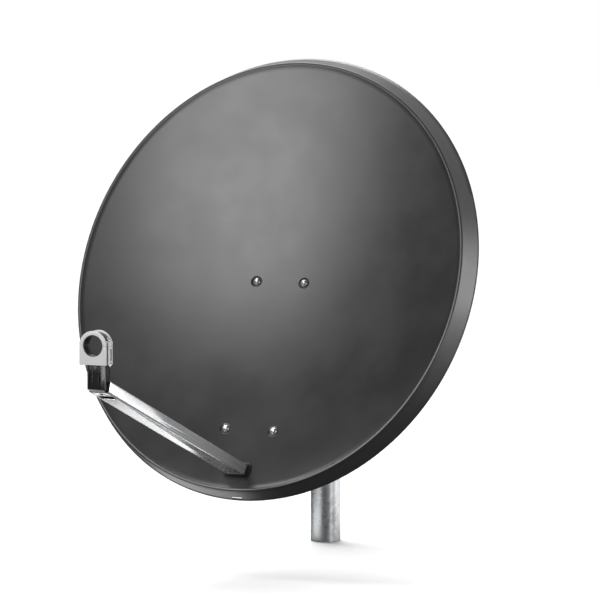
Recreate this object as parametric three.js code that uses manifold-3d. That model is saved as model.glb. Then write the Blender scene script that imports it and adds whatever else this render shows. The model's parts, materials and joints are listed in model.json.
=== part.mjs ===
// Offset satellite dish on a mast stub: reflector, feed arm, receiver clamp, rear frame and
// elevation / azimuth mount. Millimetres, +Z up, dish looking along -Y. The origin is on the
// mast's axis at its lower end.
import * as THREE from 'three';
import { mergeVertices } from 'three/addons/utils/BufferGeometryUtils.js';
import { ParametricGeometry } from 'three/addons/geometries/ParametricGeometry.js';
import Module from 'manifold-3d';

const wasm = await Module();
wasm.setup();

const { cos, sin, tan, PI, sqrt, hypot } = Math;
const rad = THREE.MathUtils.degToRad;

// ---------- driving dimensions ----------
const GAP = 0.3;                       // air between pieces that touch on the real object

// reflector: a tilted elliptical cut of a paraboloid
const APERTURE_WIDTH = 800;            // rim crest to rim crest, side to side
const OFFSET_ANGLE = rad(21.85);       // parabola axis above the aperture's normal
const AXIS_CLEARANCE = 20;             // parabola axis below the lower rim
const APERTURE_TILT = rad(21.5);       // aperture leans back from the vertical
const RIM_CENTRE = new THREE.Vector3(0, -285.5, 560);
const SHEET = 1;
const BEAD_RADIUS = 3;                 // rolled front edge
const HEM_RADIUS = 2.3;                // rolled rear edge
const SKIRT_DEPTH = 45.5;
const FLARE_MEAN = 18.6;               // skirt widens most at the top, least at the bottom
const FLARE_TOP = 7.8;
const DRAIN_WIDTH = 22;
const DRAIN_LENGTH = 9;
const BEAD_TURNS = [120, 90, 55, 20];   // degrees round each rolled edge's section
const HEM_TURNS = [75, 20, -40, -100, -160];
const HEM_END = { inset: 2.1 * HEM_RADIUS, height: 2.2 * HEM_RADIUS };
const LIP_INSET = 1.2 * BEAD_RADIUS;   // where the bowl ends and the bead begins
const AROUND = 60;                     // facets round the rim
const ACROSS = 8;                      // facets from the centre to the rim

// reflector bolts, as a rectangle on the aperture
const BOLT_SPACING = 100.8;
const BOLT_ROWS = [2.8, -302.7];
const SHEET_HOLE = 4.6;

// feed arm: rectangular tube, measured from where its underside meets the reflector
const ARM_ELEVATION = rad(21);
const ARM_FOOT = new THREE.Vector2(-422.5, 185.1);
const ARM_WIDTH = 40;
const ARM_HEIGHT = 21.8;
const ARM_WALL = 2;
const ARM_CORNER = 3;
const ARM_REACH = 593;
const ARM_TAIL = 88;
const CABLE_SLOT = { width: 30, from: 548, to: 567 };
const HOLDER_SCREW_AT = 582;
const HOLDER_SCREW = { radius: 2, head: 3.6, headHeight: 1.6, sides: 12, length: 13 };
const TAIL_BOLTS = [-36, -68];
const ARM_HOLE_CLEARANCE = 1.5;        // between the arm and the reflector's edge
const PASSAGE = 60;                    // half length of a tool that cuts the arm's way through
const COLLAR = {
  width: 56, halfHeight: 14.5, corner: 10, thickness: 7, sunk: 1.5, foot: -398, lift: 10,
  slopeLow: -410, slopeHigh: -380,
};

// fluted body between the arm and the clamp, in (y, z) as seen from the side
const HOLDER = {
  front: -992.5, chin: [[-992.5, 416], [-991, 409], [-985, 401.3]], back: -965.5, halfWidth: 17.5,
  fluteX: [-12, 0, 12], fluteY: -996, fluteRadius: 6.4,
  waistX: 21.5, waistY: -975.5, waistRadius: 7.2, toolFoot: 390,
};
const TONGUE = { into: 22, outside: 4, corner: 0.9 };

// receiver clamp
const THROAT_RADIUS = 19;
const THROAT_HEIGHT = 481.3;
const CLAMP_RADIUS = 26.4;
const CLAMP_FRONT = -998.1;
const CLAMP_DEPTH = 25.5;
const CLAMP_DROP = 33.6;               // throat centre down to the clamp's underside
const EAR_HEIGHT = 6.5;
const CLAMP_SCREW = {
  x: 22.8, back: 19.6, radius: 2, head: 3.5, headHeight: 3, sides: 12, across: 7, nutHeight: 3.2,
};
const NUT_POCKET = { radius: 4.6, depth: 4, nutIn: 0.4 };
const GRIP_GROOVE = { from: 8, to: 12, depth: 1.2 };
const BASE_WAIST = { inset: 2.4, from: 2, to: 7.5 };   // recess between the flanges, from the front
const CAP_WAIST = { inset: 3, from: 2.5, to: CLAMP_DEPTH - 3.5 };
const OVERLAP = 0.5;                   // how far slices that are welded reach into each other

// rear frame: a plate bolted to the reflector, with two gussets that hold the arm's tail
const PLATE = 3;
const FRAME_STANDOFF = 18;
const FRAME_HALF_WIDTH = 66;
const FRAME_OVERHANG = 22;
const FRAME_CORNER = 14;
const FRAME_WINDOW = { width: 30, height: 60, lows: [-70, 30], corner: 8 };
const FOOT = { base: 17, top: 11, reach: 6, recess: 10, inside: -10, hole: 4.5 };
const GUSSET_INNER = ARM_WIDTH / 2 + 0.6;
const GUSSET = {
  pivotRadius: 18, pivotFrom: rad(75), pivotTo: rad(-10), lockRadius: 15, lockTo: rad(-70),
  tail: 2 - ARM_TAIL, toe: -20, below: -6, tailAbove: 7, toeAbove: 4,
};
const LIGHTENING_HOLES = [{ at: [-205, 430], radius: 27 }, { at: [-265, 335], radius: 22 }];
const CROSS_REACH = 40;                // half length of a tool that cuts across both gussets

// fasteners: shank radius, width across flats, head and nut heights
const M8 = { radius: 4, across: 13, headHeight: 5.3, nutHeight: 6.5 };
const M10 = { radius: 5, across: 16, headHeight: 6.4, nutHeight: 8 };
const BUTTON = { radius: M8.radius, head: 7.5, headHeight: 4, sides: 16, length: 24, lift: 1.6 };
const ARM_BOLT_END = 11;               // length past the far seat
const TILT_BOLT_END = 14;
const JAW_BOLT_LENGTH = 96;
const PLAIN_HOLE = 4.5;
const WASHER = { radius: 8.5, thickness: 1.6, room: 2 };
const SPACER_WALL = 3;

// mount
const MAST_RADIUS = 30;
const MAST_WALL = 2.5;
const MAST_HEIGHT = 545;
const CAP = { wall: 1.7, skirt: 15, crown: 5, shoulder: [[5, 4], [1, 1.5]], edge: 1 };
const PIVOT = new THREE.Vector2(-120, 500);
const LOCK_RADIUS = 85;
const TILT_FORWARD = rad(28);
const TILT_BACK = rad(17);
const SLOT_PLAY = 0.4;
const CHEEK_INNER = 24.1;
const CHEEK_OUTER = CHEEK_INNER + PLATE;
const WEB_BACK = -41;
const WEB = { width: 116, low: 405, high: 525, corner: 8 };
const CHEEK = {
  pivotRadius: 20, waist: [-166, 436], heel: [-152, 412], heelRadius: 14, toe: [-62, 398],
};
const JAW_HEIGHT = [420, 510];
const JAW_BOLT_X = 47;
const JAW_BOLT_Z = [435, 495];
const JAW = {
  angle: rad(30), mouth: 34.5, blockHalf: 40, wing: 58, thick: 4.5, shoulder: 1.2, crown: 1.15,
};

// ---------- derived dimensions ----------
const HALF_WIDTH = APERTURE_WIDTH / 2;
const HALF_HEIGHT = HALF_WIDTH / cos(OFFSET_ANGLE);
const AXIS_OFFSET = HALF_WIDTH + AXIS_CLEARANCE;
const FOCAL_LENGTH = AXIS_OFFSET / (2 * tan(OFFSET_ANGLE));

const apertureFrame = new THREE.Matrix4()
  .makeRotationX(PI / 2 - APERTURE_TILT)
  .setPosition(RIM_CENTRE);

// ---------- materials ----------
const finish = (color, roughness, metalness) =>
  new THREE.MeshStandardMaterial({ color, roughness, metalness });
const paint = finish(0x3a393b, 0.4, 0.2);
const zinc = finish(0xc4c6c9, 0.35, 0.9);
const galvanised = finish(0xa9adb1, 0.5, 0.8);
const aluminium = finish(0xdfe1e4, 0.25, 0.9);
const blackPlastic = finish(0x121213, 0.3, 0);
const greyPlastic = finish(0xb9babb, 0.5, 0);

// ---------- solids ----------
function signedVolume(points, triangles) {
  const [a, b, c] = [new THREE.Vector3(), new THREE.Vector3(), new THREE.Vector3()];
  let volume = 0;
  for (let i = 0; i < triangles.length; i += 3) {
    a.fromArray(points, 3 * triangles[i]);
    b.fromArray(points, 3 * triangles[i + 1]);
    c.fromArray(points, 3 * triangles[i + 2]);
    volume += a.dot(b.cross(c)) / 6;
  }
  return volume;
}

// A closed three.js geometry as a manifold solid, with its faces turned outwards.
function solid(geometry) {
  const plain = geometry.clone();
  plain.deleteAttribute('normal');
  plain.deleteAttribute('uv');
  const merged = mergeVertices(plain, 1e-3);
  const corners = merged.index.array;
  let triangles = [];
  for (let i = 0; i < corners.length; i += 3) {
    const [a, b, c] = [corners[i], corners[i + 1], corners[i + 2]];
    if (a !== b && b !== c && a !== c) triangles.push(a, b, c);
  }
  const vertProperties = new Float32Array(merged.attributes.position.array);
  if (signedVolume(vertProperties, triangles) < 0) triangles = triangles.reverse();
  const triVerts = new Uint32Array(triangles);
  return new wasm.Manifold(new wasm.Mesh({ numProp: 3, vertProperties, triVerts }));
}

function unite(...solids) {
  return solids.reduce((sum, piece) => sum.add(piece));
}

function cut(body, ...tools) {
  return tools.reduce((rest, tool) => rest.subtract(tool), body);
}

function geometryOf(body) {
  const { vertProperties, triVerts } = body.getMesh();
  const geometry = new THREE.BufferGeometry();
  geometry.setAttribute('position', new THREE.BufferAttribute(vertProperties, 3));
  geometry.setIndex(new THREE.BufferAttribute(triVerts, 1));
  geometry.computeVertexNormals();
  return geometry;
}

const group = new THREE.Group();

function add(name, body, material) {
  const mesh = new THREE.Mesh(geometryOf(body), material);
  mesh.name = name;
  group.add(mesh);
}

// ---------- shape helpers ----------
function outline(points, holes = []) {
  const shape = new THREE.Shape(points.map(([x, y]) => new THREE.Vector2(x, y)));
  shape.holes.push(...holes);
  return shape;
}

function circlePath(x, y, radius) {
  return new THREE.Path().absarc(x, y, radius, 0, 2 * PI);
}

function roundedRectangle(width, low, high, radius, path = new THREE.Shape()) {
  const half = width / 2;
  path.moveTo(half - radius, low);
  path.absarc(half - radius, low + radius, radius, -PI / 2, 0);
  path.absarc(half - radius, high - radius, radius, 0, PI / 2);
  path.absarc(-half + radius, high - radius, radius, PI / 2, PI);
  path.absarc(-half + radius, low + radius, radius, PI, 1.5 * PI);
  path.closePath();
  return path;
}

function extrude(shape, depth, segments = 6) {
  return new THREE.ExtrudeGeometry(shape, { depth, bevelEnabled: false, curveSegments: segments });
}

// Extrusions whose outline is drawn in the plane across the named axis.
function alongX(shape, from, to, segments) {
  const turn = new THREE.Matrix4().makeBasis(
    new THREE.Vector3(0, 1, 0), new THREE.Vector3(0, 0, 1), new THREE.Vector3(1, 0, 0));
  return solid(extrude(shape, to - from, segments).applyMatrix4(turn).translate(from, 0, 0));
}

function alongY(shape, from, to, segments) {
  return solid(extrude(shape, to - from, segments).rotateX(PI / 2).translate(0, to, 0));
}

function alongZ(shape, from, to, segments) {
  return solid(extrude(shape, to - from, segments).translate(0, 0, from));
}

const UP = new THREE.Vector3(0, 1, 0);

// A round, tapered or many-sided bar from one point to another.
function bar(from, to, radius, { sides = 12, endRadius = radius } = {}) {
  const start = new THREE.Vector3(...from);
  const end = new THREE.Vector3(...to);
  const length = start.distanceTo(end);
  const turn = new THREE.Quaternion().setFromUnitVectors(UP, end.clone().sub(start).normalize());
  const middle = start.add(end).multiplyScalar(0.5);
  const geometry = new THREE.CylinderGeometry(endRadius, radius, length, sides)
    .applyQuaternion(turn).translate(...middle.toArray());
  return solid(geometry);
}

// A point at a distance along a direction.
function step(origin, direction, distance) {
  return origin.map((value, i) => value + direction[i] * distance);
}

const hexRadius = (across) => across / sqrt(3);

// Bolt whose head starts at `seat` and whose shank runs the other way from `direction`.
function bolt(seat, direction, length, { radius, across, headHeight,
  head = hexRadius(across), sides = 6 }) {
  return unite(
    bar(seat, step(seat, direction, headHeight), head, { sides }),
    bar(step(seat, direction, headHeight / 2), step(seat, direction, -length), radius));
}

function nut(seat, direction, { radius, across, nutHeight }) {
  const body = bar(seat, step(seat, direction, nutHeight), hexRadius(across), { sides: 6 });
  const hole = bar(step(seat, direction, -1), step(seat, direction, nutHeight + 1), radius + GAP);
  return cut(body, hole);
}

// ---------- reflector ----------
// Depth of the paraboloid behind the aperture plane.
function dishDepth(u, v) {
  const reach = AXIS_OFFSET + v * cos(OFFSET_ANGLE);
  const rimHeight = (AXIS_OFFSET ** 2 + HALF_WIDTH ** 2) / (4 * FOCAL_LENGTH);
  const a = sin(OFFSET_ANGLE) ** 2 / (4 * FOCAL_LENGTH);
  const b = 2 * reach * sin(OFFSET_ANGLE) / (4 * FOCAL_LENGTH) + cos(OFFSET_ANGLE);
  const c = (u * u + reach * reach) / (4 * FOCAL_LENGTH) - rimHeight - v * sin(OFFSET_ANGLE);
  return (sqrt(b * b - 4 * a * c) - b) / (2 * a);
}

const flare = (angle) => FLARE_MEAN + FLARE_TOP * sin(angle);

// One surface ring of the bowl, `inset` millimetres inside the rim, `drop` behind the front.
const bowlRing = (inset, drop) => (angle) => {
  const u = (HALF_WIDTH - inset) * cos(angle);
  const v = (HALF_HEIGHT - inset * HALF_HEIGHT / HALF_WIDTH) * sin(angle);
  return [u, v, -dishDepth(u, v) - drop];
};

const rimRing = (outset, height) => (angle) => [
  (HALF_WIDTH + outset(angle)) * cos(angle),
  (HALF_HEIGHT + outset(angle)) * sin(angle),
  height,
];

// The sheet's section as rings: front of the bowl, bead, skirt, hem, then back inside.
function reflectorRings() {
  const rings = [];
  const backLip = LIP_INSET + SHEET;
  for (let i = 0; i <= ACROSS; i += 1) {
    rings.push(bowlRing(HALF_WIDTH + (LIP_INSET - HALF_WIDTH) * i / ACROSS, 0));
  }
  for (const turn of BEAD_TURNS) {
    const out = BEAD_RADIUS * cos(rad(turn));
    rings.push(rimRing(() => out, BEAD_RADIUS * (sin(rad(turn)) - 1)));
  }
  for (const turn of HEM_TURNS) {
    const out = HEM_RADIUS * (cos(rad(turn)) - 1);
    rings.push(rimRing((angle) => flare(angle) + out,
      HEM_RADIUS * (sin(rad(turn)) + 1) - SKIRT_DEPTH));
  }
  rings.push(rimRing((angle) => flare(angle) - HEM_END.inset, HEM_END.height - SKIRT_DEPTH));
  rings.push(rimRing(() => BEAD_RADIUS - SHEET, -BEAD_RADIUS - SHEET / 2));
  for (let i = ACROSS; i >= 0; i -= 1) {
    rings.push(bowlRing(HALF_WIDTH + (backLip - HALF_WIDTH) * i / ACROSS, SHEET));
  }
  return rings;
}

function ringSolid(rings) {
  const surface = (u, v, target) => {
    const ring = rings[Math.round(v * (rings.length - 1))];
    target.set(...ring(2 * PI * (u % 1)));
  };
  const geometry = new ParametricGeometry(surface, AROUND, rings.length - 1);
  return solid(geometry.applyMatrix4(apertureFrame));
}

// The space from a surface `drop` behind the bowl's front face to a flat at `height`, used to
// fit pieces against the reflector.
function bowlSpace(drop, height) {
  const rings = [];
  for (let i = 0; i <= ACROSS; i += 1) rings.push(bowlRing(HALF_WIDTH * i / ACROSS, drop));
  rings.reverse();
  rings.push((angle) => [HALF_WIDTH * cos(angle), HALF_HEIGHT * sin(angle), height]);
  rings.push(() => [0, 0, height]);
  return ringSolid(rings);
}

function onBowl(u, v, drop = 0) {
  const point = new THREE.Vector3(u, v, -dishDepth(u, v) - drop).applyMatrix4(apertureFrame);
  return point.toArray();
}

// The rear frame's own axes: along the chord between the two rows of bolts.
const upperRow = onBowl(BOLT_SPACING / 2, BOLT_ROWS[0]);
const lowerRow = onBowl(BOLT_SPACING / 2, BOLT_ROWS[1]);
const CHORD = hypot(upperRow[1] - lowerRow[1], upperRow[2] - lowerRow[2]);
const chordUp = [0, (upperRow[1] - lowerRow[1]) / CHORD, (upperRow[2] - lowerRow[2]) / CHORD];
const chordFront = [0, -chordUp[2], chordUp[1]];
const chordBack = [0, chordUp[2], -chordUp[1]];

function onChord(along, front) {
  const middle = [0, (upperRow[1] + lowerRow[1]) / 2, (upperRow[2] + lowerRow[2]) / 2];
  return step(step(middle, chordUp, along), chordFront, front);
}

function boltPoints() {
  const points = [];
  for (const along of [CHORD / 2, -CHORD / 2]) {
    for (const side of [-1, 1]) {
      const point = onChord(along, 0);
      point[0] = side * BOLT_SPACING / 2;
      points.push(point);
    }
  }
  return points;
}

// ---------- feed arm ----------
// Point of the arm's section plane: `along` the arm, `up` from its underside.
function onArm(along, up) {
  return [
    ARM_FOOT.x - along * cos(ARM_ELEVATION) + up * sin(ARM_ELEVATION),
    ARM_FOOT.y + along * sin(ARM_ELEVATION) + up * cos(ARM_ELEVATION),
  ];
}

// Takes a solid whose +Z runs along the arm and +Y up from its underside into place.
function armSolid(shape, from, to, segments) {
  const place = new THREE.Matrix4()
    .makeRotationX(PI / 2 - ARM_ELEVATION)
    .setPosition(0, ARM_FOOT.x, ARM_FOOT.y);
  return solid(extrude(shape, to - from, segments).translate(0, 0, from).applyMatrix4(place));
}

function buildReflector() {
  const shell = ringSolid(reflectorRings());
  const armHole = armSolid(
    roundedRectangle(ARM_WIDTH + 2 * ARM_HOLE_CLEARANCE, -ARM_HOLE_CLEARANCE,
      ARM_HEIGHT + ARM_HOLE_CLEARANCE, ARM_CORNER + 1), -PASSAGE, PASSAGE, 2);
  const boltHoles = boltPoints().map((point) =>
    bar(step(point, chordFront, -15), step(point, chordFront, 15), SHEET_HOLE, { sides: 10 }));
  const drainHigh = -SKIRT_DEPTH + HEM_END.height + DRAIN_LENGTH;
  const drain = solid(new THREE.BoxGeometry(DRAIN_WIDTH, 20, DRAIN_LENGTH)
    .translate(0, -HALF_HEIGHT - 6, drainHigh - DRAIN_LENGTH / 2)
    .applyMatrix4(apertureFrame));
  add('reflector', cut(shell, armHole, drain, ...boltHoles), paint);
}

function buildArm() {
  const section = roundedRectangle(ARM_WIDTH, 0, ARM_HEIGHT, ARM_CORNER);
  const bore = roundedRectangle(
    ARM_WIDTH - 2 * ARM_WALL, ARM_WALL, ARM_HEIGHT - ARM_WALL, ARM_CORNER - ARM_WALL,
    new THREE.Path());
  section.holes.push(bore);
  const tube = armSolid(section, -ARM_TAIL, ARM_REACH, 3);
  const slot = armSolid(roundedRectangle(CABLE_SLOT.width, -3, 5, 1),
    CABLE_SLOT.from, CABLE_SLOT.to, 1);
  const screwHole = bar([0, ...onArm(HOLDER_SCREW_AT, -3)], [0, ...onArm(HOLDER_SCREW_AT, 5)],
    HOLDER_SCREW.radius + 0.4);
  const tailHoles = TAIL_BOLTS.map((along) =>
    acrossX(onArm(along, ARM_HEIGHT / 2), CROSS_REACH, M8.radius + GAP));
  add('feed_arm', cut(tube, slot, screwHole, ...tailHoles), aluminium);
}

// Moulded collar round the arm on the face of the reflector.
function buildCollar() {
  const { width, halfHeight, corner, thickness, sunk, foot, lift, slopeLow, slopeHigh } = COLLAR;
  const fall = dishDepth(0, slopeHigh) - dishDepth(0, slopeLow);
  const slope = Math.atan2(fall, slopeHigh - slopeLow);
  const plate = extrude(roundedRectangle(width, -halfHeight, halfHeight, corner), thickness)
    .translate(0, lift, -sunk)
    .rotateX(-slope)
    .translate(0, foot, -dishDepth(0, foot))
    .applyMatrix4(apertureFrame);
  const passage = armSolid(
    roundedRectangle(ARM_WIDTH + 2 * GAP, -GAP, ARM_HEIGHT + GAP, ARM_CORNER),
    -PASSAGE, PASSAGE, 3);
  add('arm_collar', cut(solid(plate), bowlSpace(-GAP, -150), passage), blackPlastic);
}

// ---------- receiver holder ----------
const BODY_TOP = THROAT_HEIGHT - CLAMP_DROP - GAP;

// The fluted body that stands on the arm's end, with the tongue that plugs into the tube.
function buildHolderBody() {
  const clear = ARM_REACH + GAP;
  const side = outline([
    [HOLDER.front, BODY_TOP], ...HOLDER.chin,
    onArm(clear, 0.4), onArm(clear, ARM_HEIGHT), [HOLDER.back, BODY_TOP],
  ]);
  const upright = (x, y, radius, sides) =>
    bar([x, y, HOLDER.toolFoot], [x, y, BODY_TOP + 1], radius, { sides });
  const flutes = HOLDER.fluteX.map((x) => upright(x, HOLDER.fluteY, HOLDER.fluteRadius, 14));
  const waists = [-1, 1].map((end) =>
    upright(end * HOLDER.waistX, HOLDER.waistY, HOLDER.waistRadius, 12));
  const body = cut(alongX(side, -HOLDER.halfWidth, HOLDER.halfWidth), ...flutes, ...waists);
  const tongue = armSolid(roundedRectangle(
    ARM_WIDTH - 2 * ARM_WALL - 2 * GAP, ARM_WALL + GAP, ARM_HEIGHT - ARM_WALL - GAP, TONGUE.corner),
    ARM_REACH - TONGUE.into, ARM_REACH + TONGUE.outside, 2);
  const screwHole = bar([0, ...onArm(HOLDER_SCREW_AT, 0)],
    [0, ...onArm(HOLDER_SCREW_AT, HOLDER_SCREW.length + 1)], HOLDER_SCREW.radius + GAP);
  add('holder_body', cut(unite(body, tongue), screwHole), blackPlastic);

  const seat = [0, ...onArm(HOLDER_SCREW_AT, -GAP)];
  const down = [0, -sin(ARM_ELEVATION), -cos(ARM_ELEVATION)];
  add('holder_screw', bolt(seat, down, HOLDER_SCREW.length, HOLDER_SCREW), zinc);
}

// Ring or block section between two depths, drawn across the throat.
function throatSlice(shape, from, to) {
  return alongY(shape, CLAMP_FRONT + from, CLAMP_FRONT + to, 9);
}

function clampScrewPoint(side, height) {
  return [side * CLAMP_SCREW.x, CLAMP_FRONT + CLAMP_SCREW.back, height];
}

function buildClamp() {
  const centre = THROAT_HEIGHT;
  const throat = bar([0, CLAMP_FRONT - 5, centre], [0, CLAMP_FRONT + CLAMP_DEPTH + 5, centre],
    THROAT_RADIUS, { sides: 32 });
  const groove = bar([0, CLAMP_FRONT + GRIP_GROOVE.from, centre],
    [0, CLAMP_FRONT + GRIP_GROOVE.to, centre], THROAT_RADIUS + GRIP_GROOVE.depth, { sides: 32 });
  const screws = [-1, 1].map((side) => bar(
    clampScrewPoint(side, BODY_TOP - 5), clampScrewPoint(side, centre + 30),
    CLAMP_SCREW.radius + GAP));
  const headPockets = [-1, 1].map((side) => bar(
    clampScrewPoint(side, centre + EAR_HEIGHT), clampScrewPoint(side, centre + 30),
    CLAMP_SCREW.head + 0.5));

  const bottom = centre - CLAMP_DROP;
  const parting = centre - GAP / 2;
  const lower = (half) => outline([[-half, bottom], [half, bottom], [half, parting], [-half, parting]]);
  const flanged = (profile, waist) => unite(
    throatSlice(profile(CLAMP_RADIUS), 0, waist.from),
    throatSlice(profile(CLAMP_RADIUS - waist.inset), waist.from - OVERLAP, waist.to + OVERLAP),
    throatSlice(profile(CLAMP_RADIUS), waist.to, CLAMP_DEPTH));
  const base = flanged(lower, BASE_WAIST);
  const nutSeats = [-1, 1].map((side) => bar(clampScrewPoint(side, bottom - 1),
    clampScrewPoint(side, bottom + NUT_POCKET.depth), NUT_POCKET.radius, { sides: 6 }));
  add('clamp_base', cut(base, throat, groove, ...screws, ...nutSeats), greyPlastic);

  const ear = (radius) => {
    const shape = new THREE.Shape();
    shape.moveTo(-CLAMP_RADIUS, parting + GAP);
    shape.lineTo(CLAMP_RADIUS, parting + GAP);
    shape.lineTo(CLAMP_RADIUS, centre + EAR_HEIGHT);
    const start = Math.asin(EAR_HEIGHT / radius);
    shape.absarc(0, centre, radius, start, PI - start);
    shape.lineTo(-CLAMP_RADIUS, centre + EAR_HEIGHT);
    shape.closePath();
    return shape;
  };
  const cap = flanged(ear, CAP_WAIST);
  add('clamp_cap', cut(cap, throat, groove, ...screws, ...headPockets), greyPlastic);

  for (const [name, side] of [['left', -1], ['right', 1]]) {
    const seat = clampScrewPoint(side, centre + EAR_HEIGHT + GAP);
    add(`clamp_screw_${name}`,
      bolt(seat, [0, 0, 1], EAR_HEIGHT + CLAMP_DROP + 1, CLAMP_SCREW), zinc);
    add(`clamp_nut_${name}`,
      nut(clampScrewPoint(side, bottom + NUT_POCKET.nutIn), [0, 0, 1], CLAMP_SCREW), zinc);
  }
}

// ---------- rear frame ----------
function gussetOutline() {
  const plateLine = -FRAME_STANDOFF - PLATE / 2;
  const top = onChord(CHORD / 2 + FRAME_OVERHANG, plateLine);
  const bottom = onChord(-CHORD / 2 - FRAME_OVERHANG, plateLine);
  const lock = lockPoint(0);
  const shape = new THREE.Shape();
  shape.moveTo(top[1], top[2]);
  shape.absarc(PIVOT.x, PIVOT.y, GUSSET.pivotRadius, GUSSET.pivotFrom, GUSSET.pivotTo, true);
  shape.absarc(lock[0], lock[1], GUSSET.lockRadius, 0, GUSSET.lockTo, true);
  shape.lineTo(...onArm(GUSSET.tail, ARM_HEIGHT + GUSSET.tailAbove));
  shape.lineTo(...onArm(GUSSET.tail, GUSSET.below));
  shape.lineTo(...onArm(GUSSET.toe, GUSSET.below));
  shape.lineTo(...onArm(GUSSET.toe, ARM_HEIGHT + GUSSET.toeAbove));
  shape.lineTo(bottom[1], bottom[2]);
  shape.closePath();
  return shape;
}

// The lock bolt's place when the dish is tipped back from rest by an angle.
function lockPoint(tilt) {
  return [PIVOT.x - LOCK_RADIUS * sin(tilt), PIVOT.y - LOCK_RADIUS * cos(tilt)];
}

function acrossX(point, halfLength, radius) {
  return bar([-halfLength, ...point], [halfLength, ...point], radius);
}

function buildRearFrame() {
  const place = new THREE.Matrix4().makeBasis(
    new THREE.Vector3(1, 0, 0), new THREE.Vector3(...chordUp), new THREE.Vector3(...chordFront));
  place.setPosition(new THREE.Vector3(...onChord(0, 0)));
  const half = CHORD / 2 + FRAME_OVERHANG;
  const plateShape = roundedRectangle(2 * FRAME_HALF_WIDTH, -half, half, FRAME_CORNER);
  const plate = solid(extrude(plateShape, PLATE, 4)
    .translate(0, 0, -FRAME_STANDOFF - PLATE).applyMatrix4(place));
  const { width, height, lows, corner } = FRAME_WINDOW;
  const windows = lows.map((low) => solid(
    extrude(roundedRectangle(width, low, low + height, corner), 20, 3)
      .translate(0, 0, -FRAME_STANDOFF - 12).applyMatrix4(place)));
  const bosses = boltPoints().map((point) => bar(
    step(point, chordFront, -FRAME_STANDOFF - PLATE / 2), step(point, chordFront, FOOT.reach),
    FOOT.base, { sides: 14, endRadius: FOOT.top }));
  const gussets = [-GUSSET_INNER - PLATE, GUSSET_INNER].map((x) =>
    alongX(gussetOutline(), x, x + PLATE, 3));
  const holes = boltPoints().map((point) => bar(
    step(point, chordFront, -FRAME_STANDOFF - 9), step(point, chordFront, 9), FOOT.hole));
  const dishes = boltPoints().map((point) => bar(
    step(point, chordFront, -FRAME_STANDOFF - 9), step(point, chordFront, FOOT.inside),
    FOOT.recess));
  const crossHoles = [
    acrossX(PIVOT.toArray(), CROSS_REACH, M10.radius + GAP),
    acrossX(lockPoint(0), CROSS_REACH, M8.radius + GAP),
    ...TAIL_BOLTS.map((along) =>
      acrossX(onArm(along, ARM_HEIGHT / 2), CROSS_REACH, M8.radius + GAP)),
    ...LIGHTENING_HOLES.map(({ at, radius }) => acrossX(at, CROSS_REACH, radius)),
  ];
  const blank = cut(unite(plate, ...bosses), bowlSpace(SHEET + GAP, 40), ...windows, ...dishes);
  add('rear_frame', cut(unite(blank, ...gussets), ...holes, ...crossHoles), galvanised);
}

function buildFrameBolts() {
  boltPoints().forEach((point, index) => {
    const seat = step(point, chordFront, BUTTON.lift);
    add(`reflector_bolt_${index + 1}`, bolt(seat, chordFront, BUTTON.length, BUTTON), zinc);
    add(`reflector_nut_${index + 1}`,
      nut(step(point, chordFront, FOOT.inside - GAP), chordBack, M8), zinc);
  });
  TAIL_BOLTS.forEach((along, index) => {
    const point = onArm(along, ARM_HEIGHT / 2);
    const seat = GUSSET_INNER + PLATE + GAP;
    const length = 2 * seat + ARM_BOLT_END;
    add(`arm_bolt_${index + 1}`, bolt([seat, ...point], [1, 0, 0], length, M8), zinc);
    add(`arm_nut_${index + 1}`, nut([-seat, ...point], [-1, 0, 0], M8), zinc);
  });
}

// ---------- mast, bracket and clamps ----------
function buildMast() {
  const tube = new THREE.Shape().absarc(0, 0, MAST_RADIUS, 0, 2 * PI);
  tube.holes.push(circlePath(0, 0, MAST_RADIUS - MAST_WALL));
  add('mast_tube', alongZ(tube, 0, MAST_HEIGHT, 18), galvanised);

  const inside = MAST_RADIUS + GAP;
  const outside = inside + CAP.wall;
  const top = MAST_HEIGHT + GAP;
  const profile = [
    [0, top + CAP.crown], ...CAP.shoulder.map(([inset, rise]) => [outside - inset, top + rise]),
    [outside, top - CAP.edge], [outside, top - CAP.skirt], [inside, top - CAP.skirt],
    [inside, top], [0, top],
  ].map(([x, y]) => new THREE.Vector2(x, y));
  add('mast_cap', solid(new THREE.LatheGeometry(profile, 28).rotateX(PI / 2)), blackPlastic);
}

// Curved slot that the lock bolt travels along, drawn as an arc band with round ends.
function lockSlot() {
  const half = M8.radius + GAP + SLOT_PLAY;
  const start = -PI / 2 - TILT_BACK;
  const end = -PI / 2 + TILT_FORWARD;
  const path = new THREE.Path();
  const centre = (angle) => [
    PIVOT.x + LOCK_RADIUS * cos(angle), PIVOT.y + LOCK_RADIUS * sin(angle)];
  path.absarc(PIVOT.x, PIVOT.y, LOCK_RADIUS + half, start, end, false);
  path.absarc(...centre(end), half, end, end + PI, false);
  path.absarc(PIVOT.x, PIVOT.y, LOCK_RADIUS - half, end, start, true);
  path.absarc(...centre(start), half, start + PI, start + 2 * PI, false);
  path.closePath();
  return path;
}

function cheekOutline() {
  const shape = new THREE.Shape();
  shape.moveTo(WEB_BACK - 1, WEB.low);
  shape.lineTo(WEB_BACK - 1, WEB.high);
  shape.absarc(PIVOT.x, PIVOT.y, CHEEK.pivotRadius, PI / 2, PI, false);
  shape.lineTo(...CHEEK.waist);
  shape.absarc(...CHEEK.heel, CHEEK.heelRadius, PI, 1.5 * PI, false);
  shape.lineTo(...CHEEK.toe);
  shape.closePath();
  shape.holes.push(lockSlot(), circlePath(PIVOT.x, PIVOT.y, M10.radius + GAP));
  return shape;
}

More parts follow.
